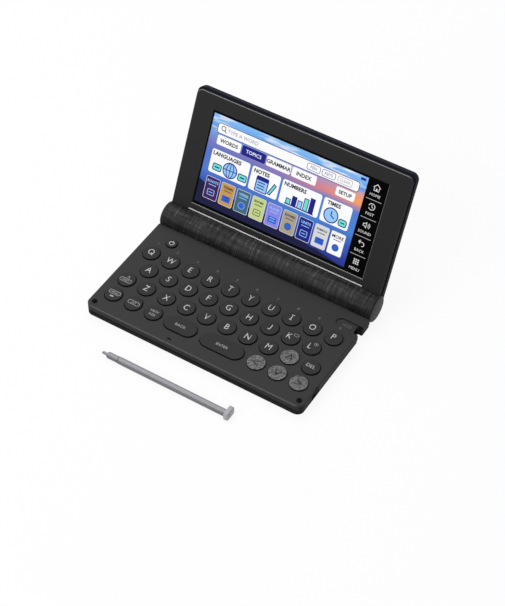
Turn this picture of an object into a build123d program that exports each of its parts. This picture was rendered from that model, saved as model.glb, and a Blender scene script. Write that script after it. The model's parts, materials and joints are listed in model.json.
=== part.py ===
"""Pocket electronic dictionary: a clamshell with a battery barrel for a hinge.

Millimetres, +Z up, +X to the user's right, +Y away from the user.  The origin is on the table
plane, at the middle of the opened dictionary with its stylus laid out in front of it.
"""
import os
from math import cos, pi, radians, sin, sqrt

from build123d import *

# ---------------------------------------------------------------- driving dimensions
# overall
WIDTH = 149.0
FRONT_Y = -52.9
AXIS_FROM_FRONT = 88.1
DECK_Z = 8.4
UNDERSIDE_Z = 0.6
SPLIT_Z = 4.0

# base housing
CORNER_R = 4.5
REAR_CORNER_R = 1.0
HOUSING_DEPTH = 80.1
WALL = 1.4
FLOOR = 1.2
DECK_THICKNESS = 1.3
UPPER_FRONT_INSET = 0.4
LOWER_SIDE_INSET = 0.4
EDGE_CHAMFER = 0.5
ROUND_SIDES = 20

# battery barrel and hinge
BARREL_R = 8.75
BARREL_WALL = 1.2
BARREL_Z = 9.15
BARREL_HALF = 60.0
HINGE_GAP = 0.15
SWEEP_R = 9.05
KNUCKLE_SWEEP_R = 9.1
KNUCKLE_ROUND = 2.4
END_PLUG = 4.0
PIN_R = 2.5
PIN_REACH = 9.0
PIN_CLEARANCE = 0.05
CELL_R = 7.25
CELL_LENGTH = 49.2
CELL_NUB_R = 2.6
CELL_NUB = 1.3
DOOR_HALF = 51.0
DOOR_START = -140.0
DOOR_END = 10.0
DOOR_GAP = 0.3

# keys
KEY_PITCH = 14.2
KEY_X0 = -63.9
KEY_ROW_FROM_FRONT = {"q": 55.06, "a": 42.06, "z": 29.06, "arrow": 15.22}
A_ROW_OFFSET = 0.5
KEY_R = 5.5
KEY_WELL_GAP = 0.3
KEY_TOP_Z = 9.3
KEY_BOTTOM_Z = 6.1
KEY_EAR_TOP_Z = 6.8
KEY_EAR = 0.7
KEY_EAR_WIDTH = 2.4
KEY_CHAMFER = 0.45
KEY_TRAVEL = 0.6
BACK_KEY = (-16.4, 22.2)
ENTER_KEY = (12.3, 29.2)
POWER_KEY = (-57.8, 68.25)
POWER_KEY_R = 3.5

# stylus, its garage and the finger recess over it
GARAGE_FROM_FRONT = 68.4
GARAGE_Z = 4.45
GARAGE_BORE_R = 2.5
GARAGE_TUBE_R = 2.95
GARAGE_LENGTH = 84.0
NOTCH_X = 70.9
NOTCH_WIDTH = 6.8
RECESS_START_X = 58.0
RECESS_WIDTH = 7.0
RECESS_DEPTH = 0.7
STYLUS_R = 2.3
STYLUS_TIP_X = -46.1
STYLUS_LENGTH = 86.9
STYLUS_FRONT_GAP = 21.0
STYLUS_HEAD = (2.9, 6.4, 4.9)

# small parts of the base
BUMPER = (70.4, 4.8)
BUMPER_R = 1.5
BUMPER_TOP_Z = 9.35
FOOT_R = 4.5
FOOT_DEPTH = 0.9
FOOT_PLACES = ((64.0, 9.0), (64.0, 73.0))
SCREW_PLACES = ((57.0, 5.4), (57.0, 76.0))
MIC_SLOT = (-17.0, 3.9, 2.8, 0.9)
SPEAKER = (-36.0, 69.5)
SPEAKER_R = 8.0
USB_FROM_FRONT = 73.0
USB_Z = 4.3
USB_SHELL = (9.0, 7.7, 3.9)
USB_WALL = 0.35
STRAP_FROM_FRONT = 16.0
STRAP_R = 7.0
STRAP_DEPTH = 1.2
STRAP_LOW_Z = 2.0
STRAP_BACKING = (3.0, 11.0)

# lid, in its own frame: X across, Y up from the hinge axis, Z out of the screen side
LID_TILT = 24.3
LID_FACE = -0.43
BEZEL_DEPTH = 1.9
LID_DEPTH = 7.0
BEZEL_HALF = 73.4
BEZEL_TOP = 85.0
BEZEL_CORNER_R = 3.8
BEZEL_CHAMFER = 0.35
OPENING_CHAMFER = 0.4
LID_HALF = 74.2
LID_TOP = 86.5
LID_CORNER_R = 4.4
LID_EDGE_ROUND = 1.2
LID_LIP_CHAMFER = 0.35
LID_WALL = 1.3
SCREEN_HALF = 59.95
SCREEN_LOW = 13.9
SCREEN_HIGH = 75.7
SCREEN_SINK = 0.5
GLASS_THICKNESS = 0.9
PANEL_THICKNESS = 2.2
TRIM_LOW = 9.15
TRIM_HIGH = 9.95
TRIM_PROUD = 0.12
TRIM_HALF = 61.0
TRIM_DEPTH = 0.9

# ---------------------------------------------------------------- worked-out values
HALF_WIDTH = WIDTH / 2
ROUND_GAIN = sqrt(2 * pi / (ROUND_SIDES * sin(2 * pi / ROUND_SIDES)))
BARREL_Y = FRONT_Y + AXIS_FROM_FRONT
REAR_Y = FRONT_Y + HOUSING_DEPTH
LID_FRAME = Location((0, BARREL_Y, BARREL_Z), (90 - LID_TILT, 0, 0))
ALONG_X = Location((0, 0, 0), (0, 90, 0))


def from_front(distance):
    """Y of a point at a distance behind the front edge."""
    return FRONT_Y + distance


def slab(x0, x1, y0, y1, z0, z1):
    """Plain block between two corners."""
    block = Box(x1 - x0, y1 - y0, z1 - z0, align=(Align.MIN, Align.MIN, Align.MIN))
    return Pos(x0, y0, z0) * block


def x_cylinder(radius, x0, x1, y=BARREL_Y, z=BARREL_Z):
    """Round bar along X between two stations."""
    bar = Cylinder(radius, x1 - x0, align=(Align.CENTER, Align.CENTER, Align.MIN))
    return Pos(x0, y, z) * ALONG_X * bar


def disc(radius):
    """Outline of a small repeated round, as a polygon of the same area, which keeps facets few."""
    return RegularPolygon(radius * ROUND_GAIN, ROUND_SIDES)


def z_cylinder(radius, x, y, z0, z1):
    """Small round bar along Z between two heights."""
    return extrude(Pos(x, y, z0) * disc(radius), z1 - z0)


def plan_outline(side_inset, front_inset, wall=0.0):
    """Plan of the base: large corners at the front, nearly square ones at the hinge."""
    half = HALF_WIDTH - side_inset - wall
    front, rear = FRONT_Y + front_inset + wall, REAR_Y
    sketch = Pos(0, (front + rear) / 2) * Rectangle(2 * half, rear - front)
    front_corners = sketch.vertices().filter_by_position(Axis.Y, front - 0.1, front + 0.1)
    sketch = fillet(front_corners, CORNER_R - wall)
    rear_corners = sketch.vertices().filter_by_position(Axis.Y, rear - 0.1, rear + 0.1)
    return fillet(rear_corners, REAR_CORNER_R)


def barrel_clearance():
    """Space that the barrel and the two knuckles take out of the base housing."""
    middle = x_cylinder(BARREL_R, -BARREL_HALF - HINGE_GAP, BARREL_HALF + HINGE_GAP)
    return middle + x_cylinder(KNUCKLE_SWEEP_R, -WIDTH, WIDTH) - slab(
        -BARREL_HALF - HINGE_GAP, BARREL_HALF + HINGE_GAP, REAR_Y - 20, REAR_Y + 30, -5, 30) + middle


def stylus_notch():
    """Cut through the right-hand wall, where the head of the stylus is gripped."""
    y = from_front(GARAGE_FROM_FRONT)
    notch = slab(NOTCH_X, HALF_WIDTH + 1, y - NOTCH_WIDTH / 2, y + NOTCH_WIDTH / 2, -1, DECK_Z + 1)
    return fillet(notch.edges().filter_by(Axis.Z).group_by(Axis.X)[0], 0.8)


def strap_scoop():
    """Hollow in the right-hand edge near the front, for a strap."""
    x = HALF_WIDTH + STRAP_R - STRAP_DEPTH
    return z_cylinder(STRAP_R, x, from_front(STRAP_FROM_FRONT), STRAP_LOW_Z, DECK_Z + 1)


def strap_backing(z0, z1):
    """Thicker wall behind the strap's hollow, between two heights."""
    depth, length = STRAP_BACKING
    y = from_front(STRAP_FROM_FRONT)
    outer = HALF_WIDTH - WALL
    return slab(outer - depth + WALL, outer, y - length / 2, y + length / 2, z0, z1)


# ---------------------------------------------------------------- keys
def key_places():
    """Name, x and y of each round key, row by row."""
    rows = (
        ("q", 0.0, "qwertyuiop"),
        ("a", A_ROW_OFFSET, "asdfghjkl"),
        ("z", 1.0, "zxcvbnm"),
    )
    places = {}
    for row, first, letters in rows:
        for step, letter in enumerate(letters):
            places["key_" + letter] = (KEY_X0 + (first + step) * KEY_PITCH, row)
    extra = (
        ("key_fn", 0, "z"), ("key_up", 8, "z"), ("key_delete", 9, "z"),
        ("key_f1", 0, "arrow"), ("key_f2", 1, "arrow"), ("key_f3", 2, "arrow"),
        ("key_left", 7, "arrow"), ("key_down", 8, "arrow"), ("key_right", 9, "arrow"),
    )
    for name, column, row in extra:
        places[name] = (KEY_X0 + column * KEY_PITCH, row)
    return {name: (x, from_front(KEY_ROW_FROM_FRONT[row])) for name, (x, row) in places.items()}


def wide_key_places():
    """Name, centre x, y and length of the two wide keys of the front row."""
    y = from_front(KEY_ROW_FROM_FRONT["arrow"])
    return {"key_back": (BACK_KEY[0], y, BACK_KEY[1]), "key_enter": (ENTER_KEY[0], y, ENTER_KEY[1])}


def key_cap(outline, length):
    """A key cap with a chamfered rim, and an ear at each end that keeps it under the deck."""
    body = extrude(Pos(0, 0, KEY_BOTTOM_Z) * outline, KEY_TOP_Z - KEY_BOTTOM_Z)
    body = chamfer(body.faces().sort_by(Axis.Z)[-1].edges(), KEY_CHAMFER)
    reach = length / 2 + KEY_EAR
    return body + slab(-reach, reach, -KEY_EAR_WIDTH / 2, KEY_EAR_WIDTH / 2, KEY_BOTTOM_Z, KEY_EAR_TOP_Z)


def round_key(x, y, radius=KEY_R):
    """Round key cap at a place on the deck."""
    return Pos(x, y) * key_cap(disc(radius), 2 * radius)


def wide_key(x, y, well_length):
    """Stadium-shaped key cap for a well of a given length."""
    length = well_length - 2 * KEY_WELL_GAP
    return Pos(x, y) * key_cap(SlotOverall(length, 2 * KEY_R), length)


def key_wells():
    """All the openings of the deck that the keys stand in."""
    low, high = DECK_Z - DECK_THICKNESS - 0.5, DECK_Z + 0.5
    wells = [z_cylinder(KEY_R + KEY_WELL_GAP, x, y, low, high) for x, y in key_places().values()]
    wells.append(z_cylinder(POWER_KEY_R + KEY_WELL_GAP, POWER_KEY[0], from_front(POWER_KEY[1]), low, high))
    for x, y, length in wide_key_places().values():
        slot = Pos(x, y, low) * SlotOverall(length, 2 * (KEY_R + KEY_WELL_GAP))
        wells.append(extrude(slot, high - low))
    return wells


# ---------------------------------------------------------------- base
def bottom_case():
    """Lower half of the base: a tray with feet recesses, screw bosses and a speaker grille."""
    outer = extrude(Pos(0, 0, UNDERSIDE_Z) * plan_outline(LOWER_SIDE_INSET, 0.0), SPLIT_Z - UNDERSIDE_Z)
    lower_rim = outer.faces().sort_by(Axis.Z)[0].edges()
    outer = chamfer(lower_rim, 0.6)
    room = plan_outline(LOWER_SIDE_INSET, UPPER_FRONT_INSET, WALL)
    inner = extrude(Pos(0, 0, UNDERSIDE_Z + FLOOR) * room, SPLIT_Z)
    inner -= slab(-WIDTH, WIDTH, REAR_Y - WALL, REAR_Y + 1, -1, 2 * SPLIT_Z)
    tray = outer - inner
    y = from_front(GARAGE_FROM_FRONT)
    pocket_half = NOTCH_WIDTH / 2 + WALL
    tray += slab(NOTCH_X - WALL, HALF_WIDTH - WALL, y - pocket_half, y + pocket_half,
                 UNDERSIDE_Z + FLOOR, SPLIT_Z)
    tray += strap_backing(UNDERSIDE_Z + FLOOR, SPLIT_Z)
    tray -= strap_scoop()
    for x, back in SCREW_PLACES:
        for side in (-x, x):
            tray += z_cylinder(2.4, side, from_front(back), UNDERSIDE_Z + FLOOR, SPLIT_Z)
    tray -= stylus_notch()
    tray -= x_cylinder(GARAGE_TUBE_R, NOTCH_X - GARAGE_LENGTH - 1.2, HALF_WIDTH, y, GARAGE_Z)
    tray -= usb_cutout()
    for x, back in SCREW_PLACES:
        for side in (-x, x):
            tray -= z_cylinder(1.0, side, from_front(back), -1, SPLIT_Z + 1)
            tray -= z_cylinder(2.0, side, from_front(back), -1, UNDERSIDE_Z + 1.0)
    for x, back in FOOT_PLACES:
        for side in (-x, x):
            tray -= z_cylinder(FOOT_R, side, from_front(back), -1, FOOT_DEPTH)
    sx, sy = SPEAKER[0], from_front(SPEAKER[1])
    for row in range(-2, 3):
        reach = 5.5 - abs(row) * 1.1
        slot = Pos(sx, sy + row * 2.2, -1) * SlotOverall(2 * reach, 1.0)
        tray -= extrude(slot, UNDERSIDE_Z + FLOOR + 2)
    return tray - barrel_clearance()


def top_cover():
    """Upper half of the base: the deck with its key wells, finger recess and side walls."""
    outer = extrude(Pos(0, 0, SPLIT_Z) * plan_outline(0.0, UPPER_FRONT_INSET), DECK_Z - SPLIT_Z)
    outer = chamfer(outer.faces().sort_by(Axis.Z)[-1].edges(), EDGE_CHAMFER)
    inner = extrude(Pos(0, 0, SPLIT_Z - 1) * plan_outline(0.0, UPPER_FRONT_INSET, WALL),
                    DECK_Z - DECK_THICKNESS - SPLIT_Z + 1)
    inner -= slab(-WIDTH, WIDTH, REAR_Y - WALL, REAR_Y + 1, 0, DECK_Z)
    cover = outer - inner
    y = from_front(GARAGE_FROM_FRONT)
    pocket_half = NOTCH_WIDTH / 2 + WALL
    cover += slab(NOTCH_X - WALL, HALF_WIDTH - WALL, y - pocket_half, y + pocket_half,
                  SPLIT_Z, DECK_Z - DECK_THICKNESS)
    cover += strap_backing(SPLIT_Z, DECK_Z - DECK_THICKNESS)
    cover -= strap_scoop()
    for x, back in SCREW_PLACES:
        for side in (-x, x):
            boss = z_cylinder(2.2, side, from_front(back), SPLIT_Z, DECK_Z - DECK_THICKNESS)
            cover += boss - z_cylinder(0.9, side, from_front(back), SPLIT_Z - 1, SPLIT_Z + 2.2)
    recess_length = HALF_WIDTH - RECESS_START_X + RECESS_WIDTH
    recess = Pos(RECESS_START_X + recess_length / 2, y, DECK_Z - RECESS_DEPTH) * SlotOverall(
        recess_length, RECESS_WIDTH)
    cover -= extrude(recess, 2.0)
    cover -= stylus_notch()
    cover -= x_cylinder(GARAGE_TUBE_R, NOTCH_X - GARAGE_LENGTH - 1.2, HALF_WIDTH, y, GARAGE_Z)
    cover -= usb_cutout()
    mic_x, mic_y, mic_length, mic_width = MIC_SLOT
    cover -= extrude(Pos(mic_x, from_front(mic_y), DECK_Z - 0.6) * SlotOverall(mic_length, mic_width), 2.0)
    for side in (-BUMPER[0], BUMPER[0]):
        cover -= z_cylinder(BUMPER_R, side, from_front(BUMPER[1]), DECK_Z - 0.8, DECK_Z + 1)
    cover -= barrel_clearance()
    return cover - Compound(children=key_wells())


def corner_bumpers():
    """Two rubber studs that the closed lid comes down on."""
    studs = []
    for side in (-BUMPER[0], BUMPER[0]):
        stud = z_cylinder(BUMPER_R, side, from_front(BUMPER[1]), DECK_Z - 0.8, BUMPER_TOP_Z)
        studs.append(chamfer(stud.faces().sort_by(Axis.Z)[-1].edges(), 0.4))
    return Compound(children=studs)


def rubber_feet():
    """Four rubber discs in recesses of the underside."""
    feet = []
    for x, back in FOOT_PLACES:
        for side in (-x, x):
            feet.append(z_cylinder(FOOT_R, side, from_front(back), 0.0, FOOT_DEPTH))
    return Compound(children=feet)


def case_screws():
    """Four countersunk screws that hold the two halves of the base together."""
    screws = []
    for x, back in SCREW_PLACES:
        for side in (-x, x):
            y = from_front(back)
            head = z_cylinder(1.95, side, y, UNDERSIDE_Z + 0.25, UNDERSIDE_Z + 1.0)
            for turn in (0, 90):
                blade = Box(2.4, 0.5, 0.8)
                head -= Pos(side, y, UNDERSIDE_Z + 0.25) * Rot(0, 0, turn) * blade
            screws.append(head + z_cylinder(0.85, side, y, UNDERSIDE_Z + 0.9, SPLIT_Z + 2.0))
    return Compound(children=screws)


def keypad_membrane():
    """Silicone sheet under the keys, with a raised dome for each."""
    x_half = HALF_WIDTH - WALL - 1.9
    front = FRONT_Y + 8.2
    rear = from_front(KEY_ROW_FROM_FRONT["q"]) + KEY_R + 1.0
    dome_top = KEY_BOTTOM_Z - KEY_TRAVEL - 0.1
    sheet = slab(-x_half, x_half, front, rear, dome_top - 1.0, dome_top - 0.4)
    places = list(key_places().values()) + [(x, y) for x, y, _ in wide_key_places().values()]
    for x, y in places:
        sheet += Pos(x, y, dome_top - 0.5) * extrude(RegularPolygon(2.3, 8), 0.5)
    return sheet


def main_board():
    """Printed circuit board with the main chips, on the floor of the base."""
    x_half = HALF_WIDTH - WALL - 2.4
    board = slab(-x_half, x_half, FRONT_Y + 8.5, FRONT_Y + 61.0, 2.8, 3.6)
    chips = ((-30, 30, 12), (-8, 34, 10), (22, 28, 14), (44, 38, 8))
    for x, back, size in chips:
        board += slab(x - size / 2, x + size / 2, from_front(back) - size / 2,
                      from_front(back) + size / 2, 1.9, 2.8)
    return board


def speaker():
    """Round speaker behind its grille in the floor."""
    x, y = SPEAKER[0], from_front(SPEAKER[1])
    basket = z_cylinder(SPEAKER_R, x, y, UNDERSIDE_Z + FLOOR, 4.2)
    basket -= z_cylinder(SPEAKER_R - 1.0, x, y, 1.0, 2.4)
    return basket + z_cylinder(3.6, x, y, 4.0, 5.6)


def stylus_sleeve():
    """Blind tube inside the base that the stylus slides into."""
    y = from_front(GARAGE_FROM_FRONT)
    start = NOTCH_X - GARAGE_LENGTH
    tube = x_cylinder(GARAGE_TUBE_R, start - 1.0, NOTCH_X, y, GARAGE_Z)
    return tube - x_cylinder(GARAGE_BORE_R, start, NOTCH_X + 1, y, GARAGE_Z)


def usb_block(length, width, height):
    """Block at the place of the USB socket, standing in from the left-hand side."""
    left = -HALF_WIDTH + LOWER_SIDE_INSET
    y = from_front(USB_FROM_FRONT)
    return slab(left, left + length, y - width / 2, y + width / 2, USB_Z - height / 2, USB_Z + height / 2)


def usb_cutout():
    """Opening for the socket in the left-hand wall."""
    length, width, height = USB_SHELL
    return Pos(-1, 0, 0) * usb_block(length, width, height)


def usb_socket():
    """Small USB socket: a folded steel shell with its tongue."""
    length, width, height = USB_SHELL
    shell = usb_block(length, width, height)
    room = usb_block(length - USB_WALL, width - 2 * USB_WALL, height - 2 * USB_WALL)
    tongue = usb_block(length, width - 2.6, 0.8) & usb_block(length, width, height)
    tongue -= usb_block(1.5, width, height)
    return shell - Pos(-0.01, 0, 0) * room + tongue


# ---------------------------------------------------------------- battery barrel
def barrel_sector(radius, start, end, half_length):
    """Solid wedge of a cylinder about the hinge axis, between two angles from +Y."""
    steps = 6
    fan = [(0.0, 0.0)]
    for step in range(steps + 1):
        angle = radians(start + (end - start) * step / steps)
        fan.append((radius * cos(angle), radius * sin(angle)))
    wedge = make_face(Polyline(*fan, close=True))
    solid = extrude(Plane.YZ * wedge, half_length, both=True)
    return Pos(0, BARREL_Y, BARREL_Z) * solid


def barrel_shell():
    """Fixed middle of the barrel: a tube for two cells in line, open where its door goes."""
    outer = x_cylinder(BARREL_R, -BARREL_HALF, BARREL_HALF)
    room = x_cylinder(BARREL_R - BARREL_WALL, -BARREL_HALF + END_PLUG, BARREL_HALF - END_PLUG)
    shell = outer - room
    shell -= barrel_sector(2 * BARREL_R, DOOR_START, DOOR_END, DOOR_HALF)
    for side in (-1, 1):
        low, high = sorted((side * (BARREL_HALF - END_PLUG - 1), side * (BARREL_HALF + 1)))
        shell -= x_cylinder(PIN_R, low, high)
    return shell


def battery_cover():
    """Curved door of the battery room, under and behind the barrel, with a grip of ribs."""
    gap = DOOR_GAP / BARREL_R * 57.3
    ring = x_cylinder(BARREL_R, -DOOR_HALF + DOOR_GAP, DOOR_HALF - DOOR_GAP)
    ring -= x_cylinder(BARREL_R - BARREL_WALL, -DOOR_HALF, DOOR_HALF)
    return ring & barrel_sector(2 * BARREL_R, DOOR_START + gap, DOOR_END - gap, DOOR_HALF)


def battery_cells():
    """Two AA cells in line along the barrel."""
    cells = []
    for start in (-CELL_LENGTH - CELL_NUB, 0.0):
        can = x_cylinder(CELL_R, start, start + CELL_LENGTH)
        cells.append(can + x_cylinder(CELL_NUB_R, start + CELL_LENGTH - 0.1, start + CELL_LENGTH + CELL_NUB))
    return Compound(children=cells)


def battery_contacts():
    """Contact plate at one end of the barrel, and a wound spring, as a cone, at the other."""
    wall = BARREL_HALF - END_PLUG
    plate = x_cylinder(3.0, CELL_LENGTH + CELL_NUB, wall)
    spring_length = wall - CELL_LENGTH - CELL_NUB
    cone = Cone(5.0, 3.0, spring_length, align=(Align.CENTER, Align.CENTER, Align.MIN))
    spring = Pos(-wall, BARREL_Y, BARREL_Z) * ALONG_X * cone
    return Compound(children=[plate, spring])


def hinge_pins():
    """Two steel pins, fixed in the ends of the barrel, that the knuckles turn on."""
    pins = []
    for side in (-1, 1):
        root, tip = sorted((side * (BARREL_HALF - END_PLUG), side * (BARREL_HALF + PIN_REACH)))
        pins.append(x_cylinder(PIN_R, root, tip))
    return Compound(children=pins)


# ---------------------------------------------------------------- lid
def lid_plate(half, top, corner, z0, z1):
    """Rounded plate from the hinge axis up, in the lid's own frame."""
    sketch = Pos(0, top / 2) * Rectangle(2 * half, top)
    sketch = fillet(sketch.vertices().group_by(Axis.Y)[-1], corner)
    return extrude(Pos(0, 0, z0) * sketch, z1 - z0)


def local_bar(radius, x0, x1):
    """Round bar on the hinge axis, in the lid's own frame."""
    bar = Cylinder(radius, x1 - x0, align=(Align.CENTER, Align.CENTER, Align.MIN))
    return Pos(x0, 0, 0) * ALONG_X * bar


def lid_root_clearance():
    """Room for the fixed barrel between the knuckles, and for the knuckles themselves."""
    edge = BARREL_HALF + HINGE_GAP
    middle = local_bar(SWEEP_R, -edge, edge)
    return middle + local_bar(BARREL_R, -HALF_WIDTH, -edge) + local_bar(BARREL_R, edge, HALF_WIDTH)


def lid_skirt_cut():
    """Everything of the lid below the line through its axis and ahead of the knuckles."""
    edge = BARREL_HALF + HINGE_GAP
    return slab(-edge, edge, -1, 5.5, -20, 5)


def lid_bezel():
    """Front frame of the lid, with the screen opening."""
    back = LID_FACE - BEZEL_DEPTH
    plate = lid_plate(BEZEL_HALF, BEZEL_TOP, BEZEL_CORNER_R, back, LID_FACE)
    plate = chamfer(plate.faces().sort_by(Axis.Z)[-1].edges().sort_by(Axis.Y)[1:], BEZEL_CHAMFER)
    window = slab(-SCREEN_HALF, SCREEN_HALF, SCREEN_LOW, SCREEN_HIGH, back - 1, LID_FACE + 1)
    plate -= window
    rim = plate.edges().filter_by_position(Axis.Z, LID_FACE - 0.01, LID_FACE + 0.01)
    rim = rim.filter_by_position(Axis.Y, SCREEN_LOW - 0.1, SCREEN_HIGH + 0.1)
    rim = rim.filter_by_position(Axis.X, -SCREEN_HALF - 0.1, SCREEN_HALF + 0.1)
    plate = chamfer(rim, OPENING_CHAMFER)
    edge = BARREL_HALF + HINGE_GAP
    plate -= slab(-edge, edge, -1, TRIM_HIGH, back - 1, LID_FACE + 1)
    plate -= slab(-TRIM_HALF, TRIM_HALF, TRIM_LOW, TRIM_HIGH, LID_FACE - TRIM_DEPTH, LID_FACE + 1)
    return LID_FRAME * (plate - lid_root_clearance())


def lid_back_cover():
    """Back shell of the lid, rounded at its outer edge."""
    front = LID_FACE - BEZEL_DEPTH
    back = LID_FACE - LID_DEPTH
    shell = lid_plate(LID_HALF, LID_TOP, LID_CORNER_R, back, front)
    outer_rim = shell.faces().sort_by(Axis.Z)[0].edges().sort_by(Axis.Y)[1:]
    shell = fillet(outer_rim, LID_EDGE_ROUND)
    lip = shell.faces().sort_by(Axis.Z)[-1].edges().sort_by(Axis.Y)[1:]
    shell = chamfer(lip, LID_LIP_CHAMFER)
    room = slab(-LID_HALF + 3, LID_HALF - 3, 11.5, LID_TOP - 3, back + LID_WALL, front + 1)
    shell -= room
    shell -= lid_skirt_cut()
    return LID_FRAME * (shell - lid_root_clearance())


def hinge_knuckles():
    """The two end lengths of the barrel, which carry the lid and turn on the pins."""
    knuckles = []
    for side in (-1, 1):
        inner, outer = BARREL_HALF + HINGE_GAP, HALF_WIDTH
        profile = [(side * inner, 0), (side * inner, BARREL_R)]
        for step in range(4):
            angle = radians(90 - 30 * step)
            profile.append((side * (outer - KNUCKLE_ROUND * (1 - cos(angle))),
                            BARREL_R - KNUCKLE_ROUND * (1 - sin(angle))))
        profile.append((side * outer, 0))
        knuckle = revolve(make_face(Polyline(*profile, close=True)), Axis.X)
        bore = sorted((side * (inner - 1), side * (BARREL_HALF + PIN_REACH + 0.4)))
        knuckles.append(Pos(0, BARREL_Y, BARREL_Z) * knuckle - x_cylinder(PIN_R + PIN_CLEARANCE, *bore))
    return Compound(children=knuckles)


def touch_glass():
    """Glass over the display and the strip of touch keys beside it."""
    top = LID_FACE - SCREEN_SINK
    glass = slab(-SCREEN_HALF, SCREEN_HALF, SCREEN_LOW, SCREEN_HIGH, top - GLASS_THICKNESS, top)
    return LID_FRAME * glass


def display_panel():
    """Display module behind the glass."""
    top = LID_FACE - SCREEN_SINK - GLASS_THICKNESS
    low = LID_FACE - BEZEL_DEPTH
    module = slab(-SCREEN_HALF, SCREEN_HALF, SCREEN_LOW, SCREEN_HIGH, low - PANEL_THICKNESS, top)
    return LID_FRAME * module


def trim_strip():
    """Bright strip along the foot of the bezel, over the barrel."""
    strip = slab(-TRIM_HALF, TRIM_HALF, TRIM_LOW, TRIM_HIGH, LID_FACE - TRIM_DEPTH, LID_FACE + TRIM_PROUD)
    return LID_FRAME * strip


# ---------------------------------------------------------------- stylus
def stylus():
    """Moulded stylus: a thin nib, a waist, a round shaft and a flat head to grip."""
    profile = (
        (0.0, 0.0), (0.8, 0.4), (0.95, 3.6), (STYLUS_R, 5.6), (STYLUS_R, 8.2), (1.9, 8.8),
        (STYLUS_R, 9.6),
        (STYLUS_R, STYLUS_LENGTH - STYLUS_HEAD[0]), (0.0, STYLUS_LENGTH - STYLUS_HEAD[0]),
    )
    outline = make_face(Polyline(*[(x, r) for r, x in profile], close=True))
    shaft = revolve(outline, Axis.X)
    head_x, head_y, head_z = STYLUS_HEAD
    head = Pos(STYLUS_LENGTH - head_x / 2, 0, 0) * Box(head_x, head_y, head_z)
    head = chamfer(head.edges().filter_by(Axis.X), 1.0)
    head = chamfer(head.faces().sort_by(Axis.X)[-1].edges(), 0.5)
    rest_z = head_z / 2
    return Pos(STYLUS_TIP_X, FRONT_Y - STYLUS_FRONT_GAP, rest_z) * (shaft + head)


def parts():
    """Every node of the dictionary, by name."""
    nodes = {
        "bottom_case": bottom_case(),
        "top_cover": top_cover(),
        "corner_bumpers": corner_bumpers(),
        "rubber_feet": rubber_feet(),
        "case_screws": case_screws(),
        "keypad_membrane": keypad_membrane(),
        "main_board": main_board(),
        "speaker": speaker(),
        "stylus_sleeve": stylus_sleeve(),
        "usb_socket": usb_socket(),
        "barrel_shell": barrel_shell(),
        "battery_cover": battery_cover(),
        "battery_cells": battery_cells(),
        "battery_contacts": battery_contacts(),
        "hinge_pins": hinge_pins(),
        "hinge_knuckles": hinge_knuckles(),
        "lid_bezel": lid_bezel(),
        "lid_back_cover": lid_back_cover(),
        "touch_glass": touch_glass(),
        "display_panel": display_panel(),
        "trim_strip": trim_strip(),
        "stylus": stylus(),
    }
    for name, (x, y) in key_places().items():
        nodes[name] = round_key(x, y)
    for name, (x, y, length) in wide_key_places().items():
        nodes[name] = wide_key(x, y, length)
    nodes["key_power"] = round_key(POWER_KEY[0], from_front(POWER_KEY[1]), POWER_KEY_R)
    return nodes


os.makedirs("parts", exist_ok=True)
for node_name, shape in parts().items():
    export_step(shape, "parts/" + node_name + ".step")
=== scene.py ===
"""Pocket electronic dictionary, dressed: finishes, key legends, lit screen, stylus and studio."""
import json
import logging
import math
from dataclasses import dataclass, field
from enum import Enum
from typing import Sequence, Union

import bmesh
import bpy
from mathutils import Matrix, Vector


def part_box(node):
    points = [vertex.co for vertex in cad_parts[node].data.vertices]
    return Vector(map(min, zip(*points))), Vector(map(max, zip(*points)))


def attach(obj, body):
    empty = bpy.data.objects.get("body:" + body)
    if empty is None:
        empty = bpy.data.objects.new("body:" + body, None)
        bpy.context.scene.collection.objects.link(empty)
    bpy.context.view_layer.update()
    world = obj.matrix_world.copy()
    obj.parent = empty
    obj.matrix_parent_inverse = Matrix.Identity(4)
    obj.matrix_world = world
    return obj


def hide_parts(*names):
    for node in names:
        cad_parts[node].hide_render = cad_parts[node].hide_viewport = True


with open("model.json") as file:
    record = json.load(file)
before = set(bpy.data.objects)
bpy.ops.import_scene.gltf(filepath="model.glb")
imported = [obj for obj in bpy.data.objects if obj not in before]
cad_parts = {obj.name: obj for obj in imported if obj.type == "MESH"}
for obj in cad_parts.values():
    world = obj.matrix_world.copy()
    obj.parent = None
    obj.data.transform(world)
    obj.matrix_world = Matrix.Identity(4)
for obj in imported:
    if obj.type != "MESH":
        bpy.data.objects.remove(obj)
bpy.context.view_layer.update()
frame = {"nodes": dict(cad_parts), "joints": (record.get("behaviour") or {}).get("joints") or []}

LOG = logging.getLogger("dictionary")
MM = 0.001
SHARP = math.radians(38)

Colour = tuple[float, float, float]
Point = tuple[float, float]
Value = Union[float, Sequence[float], "Sock"]


def shade(red: float, green: float | None = None, blue: float | None = None) -> Colour:
    """Linear colour from display values.

    Args:
        red: display value of red, 0 to 255, or of a grey where it stands alone.
        green: display value of green.
        blue: display value of blue.

    Returns:
        The colour in linear light.
    """
    parts = (red, red if green is None else green, red if blue is None else blue)
    return tuple(part / 255 / 12.92 if part <= 10 else ((part / 255 + 0.055) / 1.055) ** 2.4
                 for part in parts)


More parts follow.
